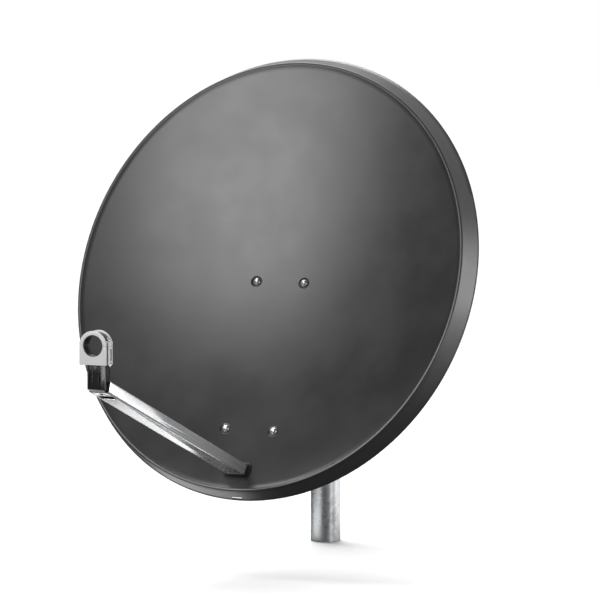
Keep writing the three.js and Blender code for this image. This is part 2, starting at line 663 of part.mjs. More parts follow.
function buildMastBracket() {
  const webShape = roundedRectangle(WEB.width, WEB.low, WEB.high, WEB.corner);
  const web = alongY(webShape, WEB_BACK - PLATE, WEB_BACK, 4);
  const cheeks = [-CHEEK_OUTER, CHEEK_INNER].map((x) => alongX(cheekOutline(), x, x + PLATE, 6));
  const holes = jawBoltPoints(WEB_BACK).map(([x, , z]) =>
    bar([x, WEB_BACK - 9, z], [x, WEB_BACK + 6, z], PLAIN_HOLE));
  add('mast_bracket', cut(unite(web, ...cheeks), ...holes), galvanised);
}

function jawBoltPoints(y) {
  return JAW_BOLT_Z.flatMap((z) => [-1, 1].map((side) => [side * JAW_BOLT_X, y, z]));
}

// The V that grips the mast: its flats lie at the jaw's angle either side of the mast's front.
function buildJaws() {
  const { mouth, blockHalf, thick, wing, shoulder, crown } = JAW;
  const apex = (MAST_RADIUS + GAP) / cos(JAW.angle);
  const edge = apex - mouth * tan(JAW.angle);
  const block = outline([
    [-blockHalf, WEB_BACK + GAP], [blockHalf, WEB_BACK + GAP], [blockHalf, -edge],
    [mouth, -edge], [0, -apex], [-mouth, -edge], [-blockHalf, -edge],
  ]);
  add('front_jaw', alongZ(block, ...JAW_HEIGHT), galvanised);

  const strap = outline([
    [-wing, edge], [-mouth, edge], [0, apex], [mouth, edge], [wing, edge],
    [wing, edge + thick], [mouth + shoulder, edge + thick], [0, apex + thick * crown],
    [-mouth - shoulder, edge + thick], [-wing, edge + thick],
  ]);
  const holes = jawBoltPoints(0).map(([x, , z]) => bar([x, 0, z], [x, 40, z], PLAIN_HOLE));
  add('rear_jaw', cut(alongZ(strap, ...JAW_HEIGHT), ...holes), galvanised);

  const seat = WEB_BACK - PLATE - GAP;
  jawBoltPoints(seat).forEach((point, index) => {
    add(`jaw_bolt_${index + 1}`, bolt(point, [0, -1, 0], JAW_BOLT_LENGTH, M8), zinc);
  });
  jawBoltPoints(edge + thick + GAP).forEach((point, index) => {
    add(`jaw_nut_${index + 1}`, nut(point, [0, 1, 0], M8), zinc);
  });
}

function buildTiltHardware() {
  const seat = CHEEK_OUTER + GAP;
  const length = 2 * seat + TILT_BOLT_END;
  add('pivot_bolt', bolt([seat, ...PIVOT.toArray()], [1, 0, 0], length, M10), zinc);
  add('pivot_nut', nut([-seat, ...PIVOT.toArray()], [-1, 0, 0], M10), zinc);
  add('lock_bolt', bolt([seat, ...lockPoint(0)], [1, 0, 0], length, M8), zinc);
  add('lock_nut', nut([-seat - WASHER.room, ...lockPoint(0)], [-1, 0, 0], M8), zinc);
  add('lock_washer', cut(
    bar([-seat, ...lockPoint(0)], [-seat - WASHER.thickness, ...lockPoint(0)], WASHER.radius),
    acrossX(lockPoint(0), CROSS_REACH, M8.radius + GAP)), zinc);
  for (const [name, point, { radius }] of [
    ['pivot_spacer', PIVOT.toArray(), M10], ['lock_spacer', lockPoint(0), M8]]) {
    const half = GUSSET_INNER - GAP;
    const bore = acrossX(point, half + 1, radius + GAP);
    add(name, cut(acrossX(point, half, radius + SPACER_WALL), bore), zinc);
  }
}

buildReflector();
buildArm();
buildCollar();
buildHolderBody();
buildClamp();
buildRearFrame();
buildFrameBolts();
buildMast();
buildMastBracket();
buildJaws();
buildTiltHardware();

export default group;
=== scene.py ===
"""Looks of an 80 cm class offset satellite dish on a stub of mast.

Metres, +Z up, the dish looking along -Y, the origin on the mast's axis at its lower end.
"""
import json
import logging
from dataclasses import dataclass, field
from enum import Enum
from math import asin, atan2, cos, hypot, pi, radians, sin, sqrt, tan
from typing import Callable, Iterable, Sequence

import bpy
from mathutils import Matrix, Vector


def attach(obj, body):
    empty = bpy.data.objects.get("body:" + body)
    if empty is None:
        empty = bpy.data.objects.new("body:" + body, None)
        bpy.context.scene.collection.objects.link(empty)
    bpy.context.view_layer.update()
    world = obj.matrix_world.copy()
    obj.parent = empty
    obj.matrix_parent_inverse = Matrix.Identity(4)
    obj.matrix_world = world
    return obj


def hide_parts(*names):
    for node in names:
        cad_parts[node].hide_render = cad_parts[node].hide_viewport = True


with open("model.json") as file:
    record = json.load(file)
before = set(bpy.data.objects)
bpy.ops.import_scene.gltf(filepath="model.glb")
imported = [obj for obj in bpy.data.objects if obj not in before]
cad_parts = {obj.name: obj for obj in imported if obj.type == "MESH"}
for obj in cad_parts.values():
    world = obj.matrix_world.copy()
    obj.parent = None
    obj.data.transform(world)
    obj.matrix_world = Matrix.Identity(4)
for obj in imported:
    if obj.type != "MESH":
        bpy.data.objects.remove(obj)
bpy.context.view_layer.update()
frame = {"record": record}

log = logging.getLogger("satellite_dish")

Point2 = tuple[float, float]
Socket = bpy.types.NodeSocket

AIR = 0.0003                 # gap between pieces that touch
TIGHT = 1e-6                 # distance under which two corners are one

BODY_OF = {
    node: body
    for body, nodes in frame["record"]["behaviour"]["bodies"].items()
    for node in nodes
}

# Takes an outline drawn in (Y, Z) and extruded along Z into a piece that runs along X, and so on.
ALONG_X = Matrix(((0, 0, 1, 0), (1, 0, 0, 0), (0, 1, 0, 0), (0, 0, 0, 1)))
ALONG_Y = Matrix(((1, 0, 0, 0), (0, 0, 1, 0), (0, 1, 0, 0), (0, 0, 0, 1)))
ALONG_Z = Matrix.Identity(4)


# ---------------------------------------------------------------- modelling by operators


def deselect() -> None:
    """Leaves object mode with nothing selected."""
    if bpy.context.mode != "OBJECT":
        bpy.ops.object.mode_set(mode="OBJECT")
    bpy.ops.object.select_all(action="DESELECT")


def take(obj: bpy.types.Object) -> None:
    """Makes one object the only selected one, and the active one."""
    deselect()
    obj.select_set(True)
    bpy.context.view_layer.objects.active = obj


def modify(obj: bpy.types.Object, kind: str, **settings: object) -> None:
    """Adds a modifier and applies it.

    Args:
        obj: the piece.
        kind: the modifier's type, such as BEVEL.
        settings: the modifier's properties.
    """
    take(obj)
    modifier = obj.modifiers.new(kind.lower(), kind)
    for name, value in settings.items():
        setattr(modifier, name, value)
    bpy.ops.object.modifier_apply(modifier=modifier.name)


def merge_and_face_out(obj: bpy.types.Object) -> None:
    """Merges doubled corners, drops loose edges and turns every face outwards."""
    take(obj)
    bpy.ops.object.mode_set(mode="EDIT")
    bpy.ops.mesh.select_all(action="SELECT")
    bpy.ops.mesh.remove_doubles(threshold=TIGHT)
    bpy.ops.mesh.delete_loose(use_verts=True, use_edges=True, use_faces=False)
    bpy.ops.mesh.select_all(action="SELECT")
    bpy.ops.mesh.normals_make_consistent(inside=False)
    bpy.ops.object.mode_set(mode="OBJECT")


def prism(outline: Sequence[Point2], start: float, end: float,
          place: Matrix = ALONG_Z) -> bpy.types.Object:
    """Extrudes a flat outline.

    Args:
        outline: corners in the outline's own plane, in order.
        start: where the extrusion begins, across that plane.
        end: where it ends.
        place: takes the outline's axes and the extrusion's into the object's frame.

    Returns:
        The closed solid, with its object at the origin.
    """
    deselect()
    bpy.ops.mesh.primitive_circle_add(vertices=len(outline), fill_type="NGON")
    obj = bpy.context.object
    for vertex, (x, y) in zip(obj.data.vertices, outline):
        vertex.co = (x, y, start)
    bpy.ops.object.mode_set(mode="EDIT")
    bpy.ops.mesh.select_all(action="SELECT")
    bpy.ops.mesh.extrude_region_move(TRANSFORM_OT_translate={"value": (0, 0, end - start)})
    bpy.ops.object.mode_set(mode="OBJECT")
    obj.data.transform(place)
    merge_and_face_out(obj)
    return obj


def turned(profile: Sequence[Point2], steps: int, place: Matrix = ALONG_Z) -> bpy.types.Object:
    """Spins a closed profile of (radius, height) about Z.

    Args:
        profile: the profile's corners, closed on itself or along the axis.
        steps: facets round the axis.
        place: takes the turned piece into the object's frame.

    Returns:
        The closed solid, with its object at the origin.
    """
    deselect()
    bpy.ops.mesh.primitive_circle_add(vertices=len(profile), fill_type="NOTHING")
    obj = bpy.context.object
    for vertex, (radius, height) in zip(obj.data.vertices, profile):
        vertex.co = (radius, 0, height)
    bpy.ops.object.mode_set(mode="EDIT")
    bpy.ops.mesh.select_all(action="SELECT")
    bpy.ops.mesh.spin(steps=steps, angle=2 * pi, center=(0, 0, 0), axis=(0, 0, 1))
    bpy.ops.object.mode_set(mode="OBJECT")
    obj.data.transform(place)
    merge_and_face_out(obj)
    return obj


def combine(obj: bpy.types.Object, others: Iterable[bpy.types.Object],
            operation: str) -> bpy.types.Object:
    """Joins, cuts or intersects a piece with helpers, which are then removed.

    Args:
        obj: the piece that stays.
        others: the helper solids.
        operation: UNION, DIFFERENCE or INTERSECT.

    Returns:
        The same piece.
    """
    for other in others:
        modify(obj, "BOOLEAN", operation=operation, object=other, solver="EXACT")
        bpy.data.objects.remove(other)
    return obj


def cut(obj: bpy.types.Object, *tools: bpy.types.Object) -> bpy.types.Object:
    """Cuts tools out of a piece."""
    return combine(obj, tools, "DIFFERENCE")


def fuse(obj: bpy.types.Object, *parts: bpy.types.Object) -> bpy.types.Object:
    """Welds parts to a piece."""
    return combine(obj, parts, "UNION")


def joined(parts: Sequence[bpy.types.Object]) -> bpy.types.Object:
    """Puts separate parts in one mesh without welding them."""
    deselect()
    for part in parts:
        part.select_set(True)
    bpy.context.view_layer.objects.active = parts[0]
    bpy.ops.object.join()
    return parts[0]


def copy_of(obj: bpy.types.Object, place: Matrix) -> bpy.types.Object:
    """A copy with its own mesh, moved into place."""
    twin = obj.copy()
    twin.data = obj.data.copy()
    bpy.context.scene.collection.objects.link(twin)
    twin.data.transform(place)
    if place.determinant() < 0:
        merge_and_face_out(twin)
    return twin


def soften(obj: bpy.types.Object, width: float, segments: int = 2,
           sharper_than: float = radians(35)) -> bpy.types.Object:
    """Rounds the edges that are sharper than an angle."""
    modify(obj, "BEVEL", width=width, segments=segments, limit_method="ANGLE",
           angle_limit=sharper_than, use_clamp_overlap=True)
    return obj


def smooth(obj: bpy.types.Object, angle: float = radians(32)) -> bpy.types.Object:
    """Shades a piece smooth, with edges sharper than the angle kept crisp."""
    take(obj)
    bpy.ops.object.shade_smooth_by_angle(angle=angle)
    return obj


def select_faces(obj: bpy.types.Object, wanted: Callable[[Vector], bool]) -> None:
    """Enters edit mode with only the faces selected whose centre passes the test."""
    take(obj)
    bpy.ops.object.mode_set(mode="EDIT")
    bpy.ops.mesh.select_mode(type="FACE")
    bpy.ops.mesh.select_all(action="DESELECT")
    bpy.ops.object.mode_set(mode="OBJECT")
    for face in obj.data.polygons:
        face.select = wanted(face.center)
    bpy.ops.object.mode_set(mode="EDIT")


def dress(obj: bpy.types.Object, node: str, *materials: bpy.types.Material) -> bpy.types.Object:
    """Names a finished piece, gives it its material and its place in the assembly.

    Args:
        obj: the finished piece.
        node: the CAD node that it stands for.
        materials: the main material, then any for faces that are assigned later.

    Returns:
        The same piece.
    """
    obj.name = obj.data.name = f"fine_{node}"
    obj.data.materials.clear()
    for material in materials:
        obj.data.materials.append(material)
    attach(obj, BODY_OF[node])
    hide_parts(node)
    log.info("%s: %d faces on body %s", obj.name, len(obj.data.polygons), BODY_OF[node])
    return obj


def paint_faces(obj: bpy.types.Object, index: int,
                wanted: Callable[[Vector, Vector], bool]) -> None:
    """Gives a material slot to the faces whose centre and normal pass the test."""
    for face in obj.data.polygons:
        if wanted(face.center, face.normal):
            face.material_index = index


# ---------------------------------------------------------------- outlines


def arc(x: float, y: float, radius: float, start: float, end: float, steps: int) -> list[Point2]:
    """Points on an arc, both ends included; angles in radians."""
    turns = [start + (end - start) * i / steps for i in range(steps + 1)]
    return [(x + radius * cos(turn), y + radius * sin(turn)) for turn in turns]


def rounded_rectangle(width: float, low: float, high: float, radius: float,
                      steps: int = 6) -> list[Point2]:
    """Corners of a rectangle centred on x = 0, with round corners, anticlockwise."""
    half = width / 2 - radius
    return [
        *arc(half, low + radius, radius, -pi / 2, 0, steps),
        *arc(half, high - radius, radius, 0, pi / 2, steps),
        *arc(-half, high - radius, radius, pi / 2, pi, steps),
        *arc(-half, low + radius, radius, pi, 1.5 * pi, steps),
    ]


def bar(start: Vector, end: Vector, radius: float, steps: int = 24) -> bpy.types.Object:
    """A round bar between two points."""
    length = (end - start).length
    return turned([(0, 0), (radius, 0), (radius, length), (0, length)], steps,
                  facing(start, end - start))


def facing(seat: Vector, direction: Vector) -> Matrix:
    """Places a piece made on +Z so that it stands on a seat and points along a direction."""
    return Matrix.Translation(seat) @ direction.to_track_quat("Z", "Y").to_matrix().to_4x4()


def hexagon(across: float) -> list[Point2]:
    """Corners of a hexagon of a width across its flats."""
    radius = across / sqrt(3)
    return [(radius * cos(i * pi / 3), radius * sin(i * pi / 3)) for i in range(6)]


# ---------------------------------------------------------------- shader nodes


@dataclass
class Nodes:
    """Adds nodes and links to one shader tree."""

    tree: bpy.types.NodeTree

    def add(self, kind: str, inputs: dict[str, object] | None = None,
            **settings: object) -> bpy.types.Node:
        """Adds a node.

        Args:
            kind: the node's type name.
            inputs: values or sockets for its inputs, by name.
            settings: its other properties.

        Returns:
            The new node.
        """
        node = self.tree.nodes.new(kind)
        for name, value in settings.items():
            setattr(node, name, value)
        for name, value in (inputs or {}).items():
            self.feed(node.inputs[name], value)
        return node

    def feed(self, socket: Socket, value: object) -> None:
        """Links a socket to an input, or sets the input's own value."""
        if isinstance(value, bpy.types.NodeSocket):
            self.tree.links.new(value, socket)
        else:
            socket.default_value = value

    def math(self, operation: str, first: object, second: object = 0.0,
             clamp: bool = False) -> Socket:
        """A Math node's result."""
        node = self.add("ShaderNodeMath", operation=operation, use_clamp=clamp)
        self.feed(node.inputs[0], first)
        self.feed(node.inputs[1], second)
        return node.outputs[0]

    def mix(self, factor: object, first: object, second: object) -> Socket:
        """A blend of two colours."""
        node = self.add("ShaderNodeMix", data_type="RGBA")
        colours = [socket for socket in node.inputs if socket.type == "RGBA"]
        self.feed(node.inputs[0], factor)
        self.feed(colours[0], first)
        self.feed(colours[1], second)
        return next(socket for socket in node.outputs if socket.type == "RGBA")

    def remap(self, value: object, low: float, high: float, to_low: float = 0.0,
              to_high: float = 1.0) -> Socket:
        """A value taken smoothly from one range to another, clamped."""
        node = self.add("ShaderNodeMapRange", {
            "Value": value, "From Min": low, "From Max": high, "To Min": to_low, "To Max": to_high,
        }, interpolation_type="SMOOTHSTEP", clamp=True)
        return node.outputs[0]

    def noise(self, vector: Socket, scale: object, detail: float = 2.0,
              roughness: float = 0.5) -> Socket:
        """Noise between 0 and 1."""
        return self.add("ShaderNodeTexNoise", {
            "Vector": vector, "Scale": scale, "Detail": detail, "Roughness": roughness,
        }).outputs[0]

    def place(self) -> Socket:
        """The object's own coordinates."""
        return self.add("ShaderNodeTexCoord").outputs["Object"]

    def use(self, group: bpy.types.NodeTree, **inputs: object) -> bpy.types.Node:
        """Places a shared group with its own values."""
        node = self.add("ShaderNodeGroup", node_tree=group)
        for name, value in inputs.items():
            self.feed(node.inputs[name.replace("_", " ").capitalize()], value)
        return node

    def bump(self, height: Socket, distance: float, strength: float = 1.0) -> Socket:
        """A normal bent by a height, with the height's full size in metres."""
        return self.add("ShaderNodeBump", {
            "Height": height, "Distance": distance, "Strength": strength,
        }).outputs[0]


def new_group(name: str, inputs: dict[str, str], outputs: Sequence[str],
              ) -> tuple[bpy.types.NodeTree, Nodes, bpy.types.Node, bpy.types.Node]:
    """Starts a shared group of values.

    Args:
        name: the group's name.
        inputs: socket kind by input name.
        outputs: names of its values.

    Returns:
        The group, its node builder, its input node and its output node.
    """
    tree = bpy.data.node_groups.new(name, "ShaderNodeTree")
    for label, kind in inputs.items():
        tree.interface.new_socket(label, in_out="INPUT", socket_type=kind)
    for label in outputs:
        tree.interface.new_socket(label, in_out="OUTPUT", socket_type="NodeSocketFloat")
    nodes = Nodes(tree)
    return tree, nodes, nodes.add("NodeGroupInput"), nodes.add("NodeGroupOutput")


def grain_group() -> bpy.types.NodeTree:
    """Fine unevenness and slow blotches, for every finish."""
    tree, nodes, given, result = new_group("surface_grain", {
        "Vector": "NodeSocketVector", "Fine": "NodeSocketFloat", "Slow": "NodeSocketFloat",
    }, ["Height", "Tone"])
    nodes.feed(result.inputs["Height"], nodes.noise(given.outputs["Vector"], given.outputs["Fine"], 3.0))
    nodes.feed(result.inputs["Tone"], nodes.noise(given.outputs["Vector"], given.outputs["Slow"], 4.0, 0.6))
    return tree


def edge_wear_group() -> bpy.types.NodeTree:
    """A broken mask along outer edges, where a finish is rubbed."""
    tree, nodes, given, result = new_group("edge_wear", {
        "Vector": "NodeSocketVector", "Amount": "NodeSocketFloat",
    }, ["Mask"])
    edge = nodes.remap(nodes.add("ShaderNodeNewGeometry").outputs["Pointiness"], 0.52, 0.62)
    broken = nodes.remap(nodes.noise(given.outputs["Vector"], 260.0, 4.0, 0.65), 0.42, 0.62)
    rubbed = nodes.math("MULTIPLY", edge, broken)
    nodes.feed(result.inputs["Mask"], nodes.math("MULTIPLY", rubbed, given.outputs["Amount"], True))
    return tree


def dust_group() -> bpy.types.NodeTree:
    """A mask of dust that lies on upward faces."""
    tree, nodes, given, result = new_group("dust", {
        "Vector": "NodeSocketVector", "Amount": "NodeSocketFloat",
    }, ["Mask"])
    normal = nodes.add("ShaderNodeNewGeometry").outputs["Normal"]
    up = nodes.add("ShaderNodeSeparateXYZ", {"Vector": normal}).outputs["Z"]
    lying = nodes.remap(up, 0.05, 1.0)
    patch = nodes.remap(nodes.noise(given.outputs["Vector"], 22.0, 6.0, 0.65), 0.3, 0.75, 0.35, 1.0)
    settled = nodes.math("MULTIPLY", lying, patch)
    nodes.feed(result.inputs["Mask"], nodes.math("MULTIPLY", settled, given.outputs["Amount"], True))
    return tree


def spangle_group() -> bpy.types.NodeTree:
    """Crystal patches of a zinc coating, each with its own tone."""
    tree, nodes, given, result = new_group("spangle", {
        "Vector": "NodeSocketVector", "Scale": "NodeSocketFloat",
    }, ["Tone", "Feather"])
    warp = nodes.add("ShaderNodeTexNoise", {
        "Vector": given.outputs["Vector"], "Scale": 150.0, "Detail": 2.0})
    shifted = nodes.add("ShaderNodeVectorMath", operation="MULTIPLY_ADD")
    nodes.feed(shifted.inputs[0], warp.outputs["Color"])
    nodes.feed(shifted.inputs[1], (0.002, 0.002, 0.002))
    nodes.feed(shifted.inputs[2], given.outputs["Vector"])
    cells = nodes.add("ShaderNodeTexVoronoi", {
        "Vector": shifted.outputs[0], "Scale": given.outputs["Scale"]})
    tone = nodes.add("ShaderNodeSeparateColor", {"Color": cells.outputs["Color"]}).outputs[0]
    nodes.feed(result.inputs["Tone"], tone)
    nodes.feed(result.inputs["Feather"], nodes.noise(shifted.outputs[0], 420.0, 2.0))
    return tree


def drawn_lines_group() -> bpy.types.NodeTree:
    """Long fine die lines along the mapped Y axis."""
    tree, nodes, given, result = new_group("drawn_lines", {"Vector": "NodeSocketVector"}, ["Lines"])
    stretched = nodes.add("ShaderNodeMapping", {
        "Vector": given.outputs["Vector"], "Scale": (1.0, 0.012, 1.0)})
    broad = nodes.noise(stretched.outputs[0], 500.0, 3.0, 0.7)
    fine = nodes.noise(stretched.outputs[0], 2600.0, 1.0)
    half = nodes.math("MULTIPLY", fine, 0.5)
    nodes.feed(result.inputs["Lines"], nodes.math("MULTIPLY_ADD", broad, 0.5))
    nodes.feed(result.inputs["Lines"].links[0].from_node.inputs[2], half)
    return tree


@dataclass(frozen=True)
class SharedEffects:
    """The node groups that the finishes share."""

    grain: bpy.types.NodeTree = field(default_factory=grain_group)
    edge_wear: bpy.types.NodeTree = field(default_factory=edge_wear_group)
    dust: bpy.types.NodeTree = field(default_factory=dust_group)
    spangle: bpy.types.NodeTree = field(default_factory=spangle_group)
    drawn_lines: bpy.types.NodeTree = field(default_factory=drawn_lines_group)


def new_material(name: str, **constants: object) -> tuple[bpy.types.Material, Nodes, bpy.types.Node]:
    """Starts a material with a Principled shader.

    Args:
        name: the material's name.
        constants: plain values for the shader's sockets, with _ for a space.

    Returns:
        The material, its node builder and its shader.
    """
    material = bpy.data.materials.new(name)
    material.use_nodes = True
    shader = material.node_tree.nodes["Principled BSDF"]
    for label, value in constants.items():
        shader.inputs[label.replace("_", " ")].default_value = value
    return material, Nodes(material.node_tree), shader


@dataclass(frozen=True)
class PowderCoat:
    """Dark anthracite powder coat on steel, satin, with a fine orange-peel."""

    colour: tuple = (0.022, 0.0215, 0.0225, 1)
    dust_colour: tuple = (0.115, 0.11, 0.10, 1)
    worn_colour: tuple = (0.10, 0.10, 0.10, 1)
    roughness: float = 0.33
    peel: float = 0.000035

    def build(self, effects: SharedEffects) -> bpy.types.Material:
        """The material."""
        material, nodes, shader = new_material("anthracite_powder_coat", Specular_IOR_Level=0.62)
        place = nodes.place()
        grain = nodes.use(effects.grain, vector=place, fine=620.0, slow=9.0)
        dust = nodes.use(effects.dust, vector=place, amount=0.10)
        wear = nodes.use(effects.edge_wear, vector=place, amount=0.35)
        tint = nodes.remap(grain.outputs["Tone"], 0.3, 0.7, 0.0, 0.10)
        base = nodes.mix(tint, self.colour, self.dust_colour)
        dusty = nodes.mix(dust.outputs["Mask"], base, self.dust_colour)
        nodes.feed(shader.inputs["Base Color"],
                   nodes.mix(wear.outputs["Mask"], dusty, self.worn_colour))
        nodes.feed(shader.inputs["Roughness"], nodes.remap(
            grain.outputs["Tone"], 0.25, 0.75, self.roughness - 0.025, self.roughness + 0.035))
        nodes.feed(shader.inputs["Normal"], nodes.bump(grain.outputs["Height"], self.peel))
        return material


@dataclass(frozen=True)
class ZincPlate:
    """Bright zinc on fasteners, slightly uneven and rubbed at the edges."""

    colour: tuple = (0.76, 0.77, 0.79, 1)
    dull_colour: tuple = (0.55, 0.56, 0.57, 1)
    roughness: float = 0.26

    def build(self, effects: SharedEffects) -> bpy.types.Material:
        """The material."""
        material, nodes, shader = new_material("zinc_plate", Metallic=1.0)
        place = nodes.place()
        grain = nodes.use(effects.grain, vector=place, fine=1500.0, slow=180.0)
        wear = nodes.use(effects.edge_wear, vector=place, amount=0.8)
        patch = nodes.remap(grain.outputs["Tone"], 0.35, 0.7)
        base = nodes.mix(patch, self.colour, self.dull_colour)
        nodes.feed(shader.inputs["Base Color"], nodes.mix(wear.outputs["Mask"], base, (0.86, 0.86, 0.86, 1)))
        nodes.feed(shader.inputs["Roughness"], nodes.remap(
            grain.outputs["Tone"], 0.3, 0.75, self.roughness - 0.06, self.roughness + 0.14))
        nodes.feed(shader.inputs["Normal"], nodes.bump(grain.outputs["Height"], 0.00002))
        return material


@dataclass(frozen=True)
class Galvanised:
    """Hot-dip galvanised steel with a light spangle."""

    light: tuple = (0.70, 0.715, 0.73, 1)
    dark: tuple = (0.58, 0.595, 0.61, 1)
    chalk: tuple = (0.68, 0.69, 0.70, 1)

    def build(self, effects: SharedEffects) -> bpy.types.Material:
        """The material."""
        material, nodes, shader = new_material("galvanised_steel", Metallic=0.92)
        place = nodes.place()
        spangle = nodes.use(effects.spangle, vector=place, scale=170.0)
        grain = nodes.use(effects.grain, vector=place, fine=900.0, slow=28.0)
        dust = nodes.use(effects.dust, vector=place, amount=0.15)
        tone = nodes.math("MULTIPLY_ADD", grain.outputs["Tone"], 0.6)
        nodes.feed(tone.node.inputs[2], nodes.math("MULTIPLY", spangle.outputs["Tone"], 0.4))
        base = nodes.mix(nodes.remap(tone, 0.25, 0.75), self.dark, self.light)
        nodes.feed(shader.inputs["Base Color"], nodes.mix(dust.outputs["Mask"], base, self.chalk))
        matt = nodes.math("MULTIPLY_ADD", spangle.outputs["Tone"], 0.06)
        nodes.feed(matt.node.inputs[2], nodes.remap(grain.outputs["Tone"], 0.3, 0.7, 0.24, 0.32))
        nodes.feed(shader.inputs["Roughness"], matt)
        relief = nodes.math("MULTIPLY_ADD", spangle.outputs["Feather"], 0.5)
        nodes.feed(relief.node.inputs[2], grain.outputs["Height"])
        nodes.feed(shader.inputs["Normal"], nodes.bump(relief, 0.000012))
        return material


@dataclass(frozen=True)
class DrawnAluminium:
    """Bright anodised extrusion with fine lines along its length."""

    slope: float
    colour: tuple = (0.88, 0.885, 0.895, 1)
    line_colour: tuple = (0.74, 0.75, 0.765, 1)

    def build(self, effects: SharedEffects) -> bpy.types.Material:
        """The material."""
        material, nodes, shader = new_material("drawn_aluminium", Metallic=0.6)
        place = nodes.place()
        aligned = nodes.add("ShaderNodeMapping", {
            "Vector": place, "Rotation": (self.slope, 0.0, 0.0)})
        lines = nodes.use(effects.drawn_lines, vector=aligned.outputs[0])
        grain = nodes.use(effects.grain, vector=place, fine=1200.0, slow=35.0)
        drawn = nodes.remap(lines.outputs["Lines"], 0.38, 0.62)
        nodes.feed(shader.inputs["Base Color"], nodes.mix(drawn, self.line_colour, self.colour))
        rough = nodes.math("MULTIPLY_ADD", drawn, -0.05)
        nodes.feed(rough.node.inputs[2], nodes.remap(grain.outputs["Tone"], 0.3, 0.7, 0.15, 0.19))
        nodes.feed(shader.inputs["Roughness"], rough)
        nodes.feed(shader.inputs["Normal"], nodes.bump(lines.outputs["Lines"], 0.000004))
        return material


@dataclass(frozen=True)
class Moulding:
    """Injection-moulded plastic with a fine texture from its tool."""

    name: str
    colour: tuple
    scuffed: tuple
    roughness: float
    texture: float

    def build(self, effects: SharedEffects) -> bpy.types.Material:
        """The material."""
        material, nodes, shader = new_material(self.name, Specular_IOR_Level=0.5)
        place = nodes.place()
        grain = nodes.use(effects.grain, vector=place, fine=1600.0, slow=70.0)
        wear = nodes.use(effects.edge_wear, vector=place, amount=0.6)
        dust = nodes.use(effects.dust, vector=place, amount=0.06)
        base = nodes.mix(wear.outputs["Mask"], self.colour, self.scuffed)
        nodes.feed(shader.inputs["Base Color"],
                   nodes.mix(dust.outputs["Mask"], base, (0.3, 0.29, 0.27, 1)))
        nodes.feed(shader.inputs["Roughness"], nodes.remap(
            grain.outputs["Tone"], 0.3, 0.7, self.roughness - 0.04, self.roughness + 0.06))
        nodes.feed(shader.inputs["Normal"], nodes.bump(grain.outputs["Height"], self.texture))
        return material


# Gloss black is the holder body's moulding, and also painted shade in the clamp's recesses and throat.
GLOSS_BLACK = Moulding("gloss_black_moulding", (0.010, 0.010, 0.011, 1), (0.06, 0.06, 0.06, 1), 0.20, 0.000012)
# Satin black is the collar's and mast cap's moulding, and also painted shade inside the arm's bore.
SATIN_BLACK = Moulding("satin_black_moulding", (0.013, 0.013, 0.014, 1), (0.07, 0.07, 0.07, 1), 0.34, 0.00003)
LIGHT_GREY = Moulding("light_grey_moulding", (0.66, 0.66, 0.665, 1), (0.76, 0.76, 0.76, 1), 0.34, 0.000022)


# ---------------------------------------------------------------- reflector


@dataclass(frozen=True)
class Bowl:
    """The tilted elliptical cut of a paraboloid that the reflector follows."""

    half_width: float = 0.400
    offset_angle: float = radians(21.85)
    axis_clearance: float = 0.020
    tilt: float = radians(21.5)
    centre: tuple[float, float, float] = (0.0, -0.2855, 0.560)
    bolt_spacing: float = 0.1008
    bolt_rows: tuple[float, float] = (0.0028, -0.3027)

    @property
    def half_height(self) -> float:
        """Half the opening's height, along the opening."""
        return self.half_width / cos(self.offset_angle)

    @property
    def aperture(self) -> Matrix:
        """Takes (across, up the opening, forward) into the object's frame."""
        return Matrix.Translation(self.centre) @ Matrix.Rotation(pi / 2 - self.tilt, 4, "X")

    def depth(self, across: float, up: float) -> float:
        """Distance of the bowl's face behind the opening's plane."""
        offset = self.half_width + self.axis_clearance
        focus4 = 2 * offset / tan(self.offset_angle)
        reach = offset + up * cos(self.offset_angle)
        rim = (offset ** 2 + self.half_width ** 2) / focus4
        a = sin(self.offset_angle) ** 2 / focus4
        b = 2 * reach * sin(self.offset_angle) / focus4 + cos(self.offset_angle)
        c = (across ** 2 + reach ** 2) / focus4 - rim - up * sin(self.offset_angle)
        return (sqrt(b * b - 4 * a * c) - b) / (2 * a)

    def on_face(self, across: float, up: float) -> Vector:
        """A point of the bowl's face in the object's frame."""
        return self.aperture @ Vector((across, up, -self.depth(across, up)))

    @property
    def chord(self) -> Matrix:
        """The rear frame's axes: X across, Y up the line between the bolt rows, Z forward."""
        upper = self.on_face(self.bolt_spacing / 2, self.bolt_rows[0])
        lower = self.on_face(self.bolt_spacing / 2, self.bolt_rows[1])
        up = (upper - lower).normalized()
        front = Vector((1, 0, 0)).cross(up)
        turn = Matrix((Vector((1, 0, 0)), up, front)).transposed().to_4x4()
        middle = (upper + lower) / 2
        return Matrix.Translation((0, middle.y, middle.z)) @ turn

    @property
    def chord_half(self) -> float:
        """Half the distance between the bolt rows."""
        upper = self.on_face(self.bolt_spacing / 2, self.bolt_rows[0])
        lower = self.on_face(self.bolt_spacing / 2, self.bolt_rows[1])
        return (upper - lower).length / 2

    def bolts(self) -> list[Vector]:
        """The four bolts as (across, up the chord, 0) on the rear frame's axes."""
        return [
            Vector((side * self.bolt_spacing / 2, row * self.chord_half, 0))
            for row in (1, -1) for side in (-1, 1)
        ]


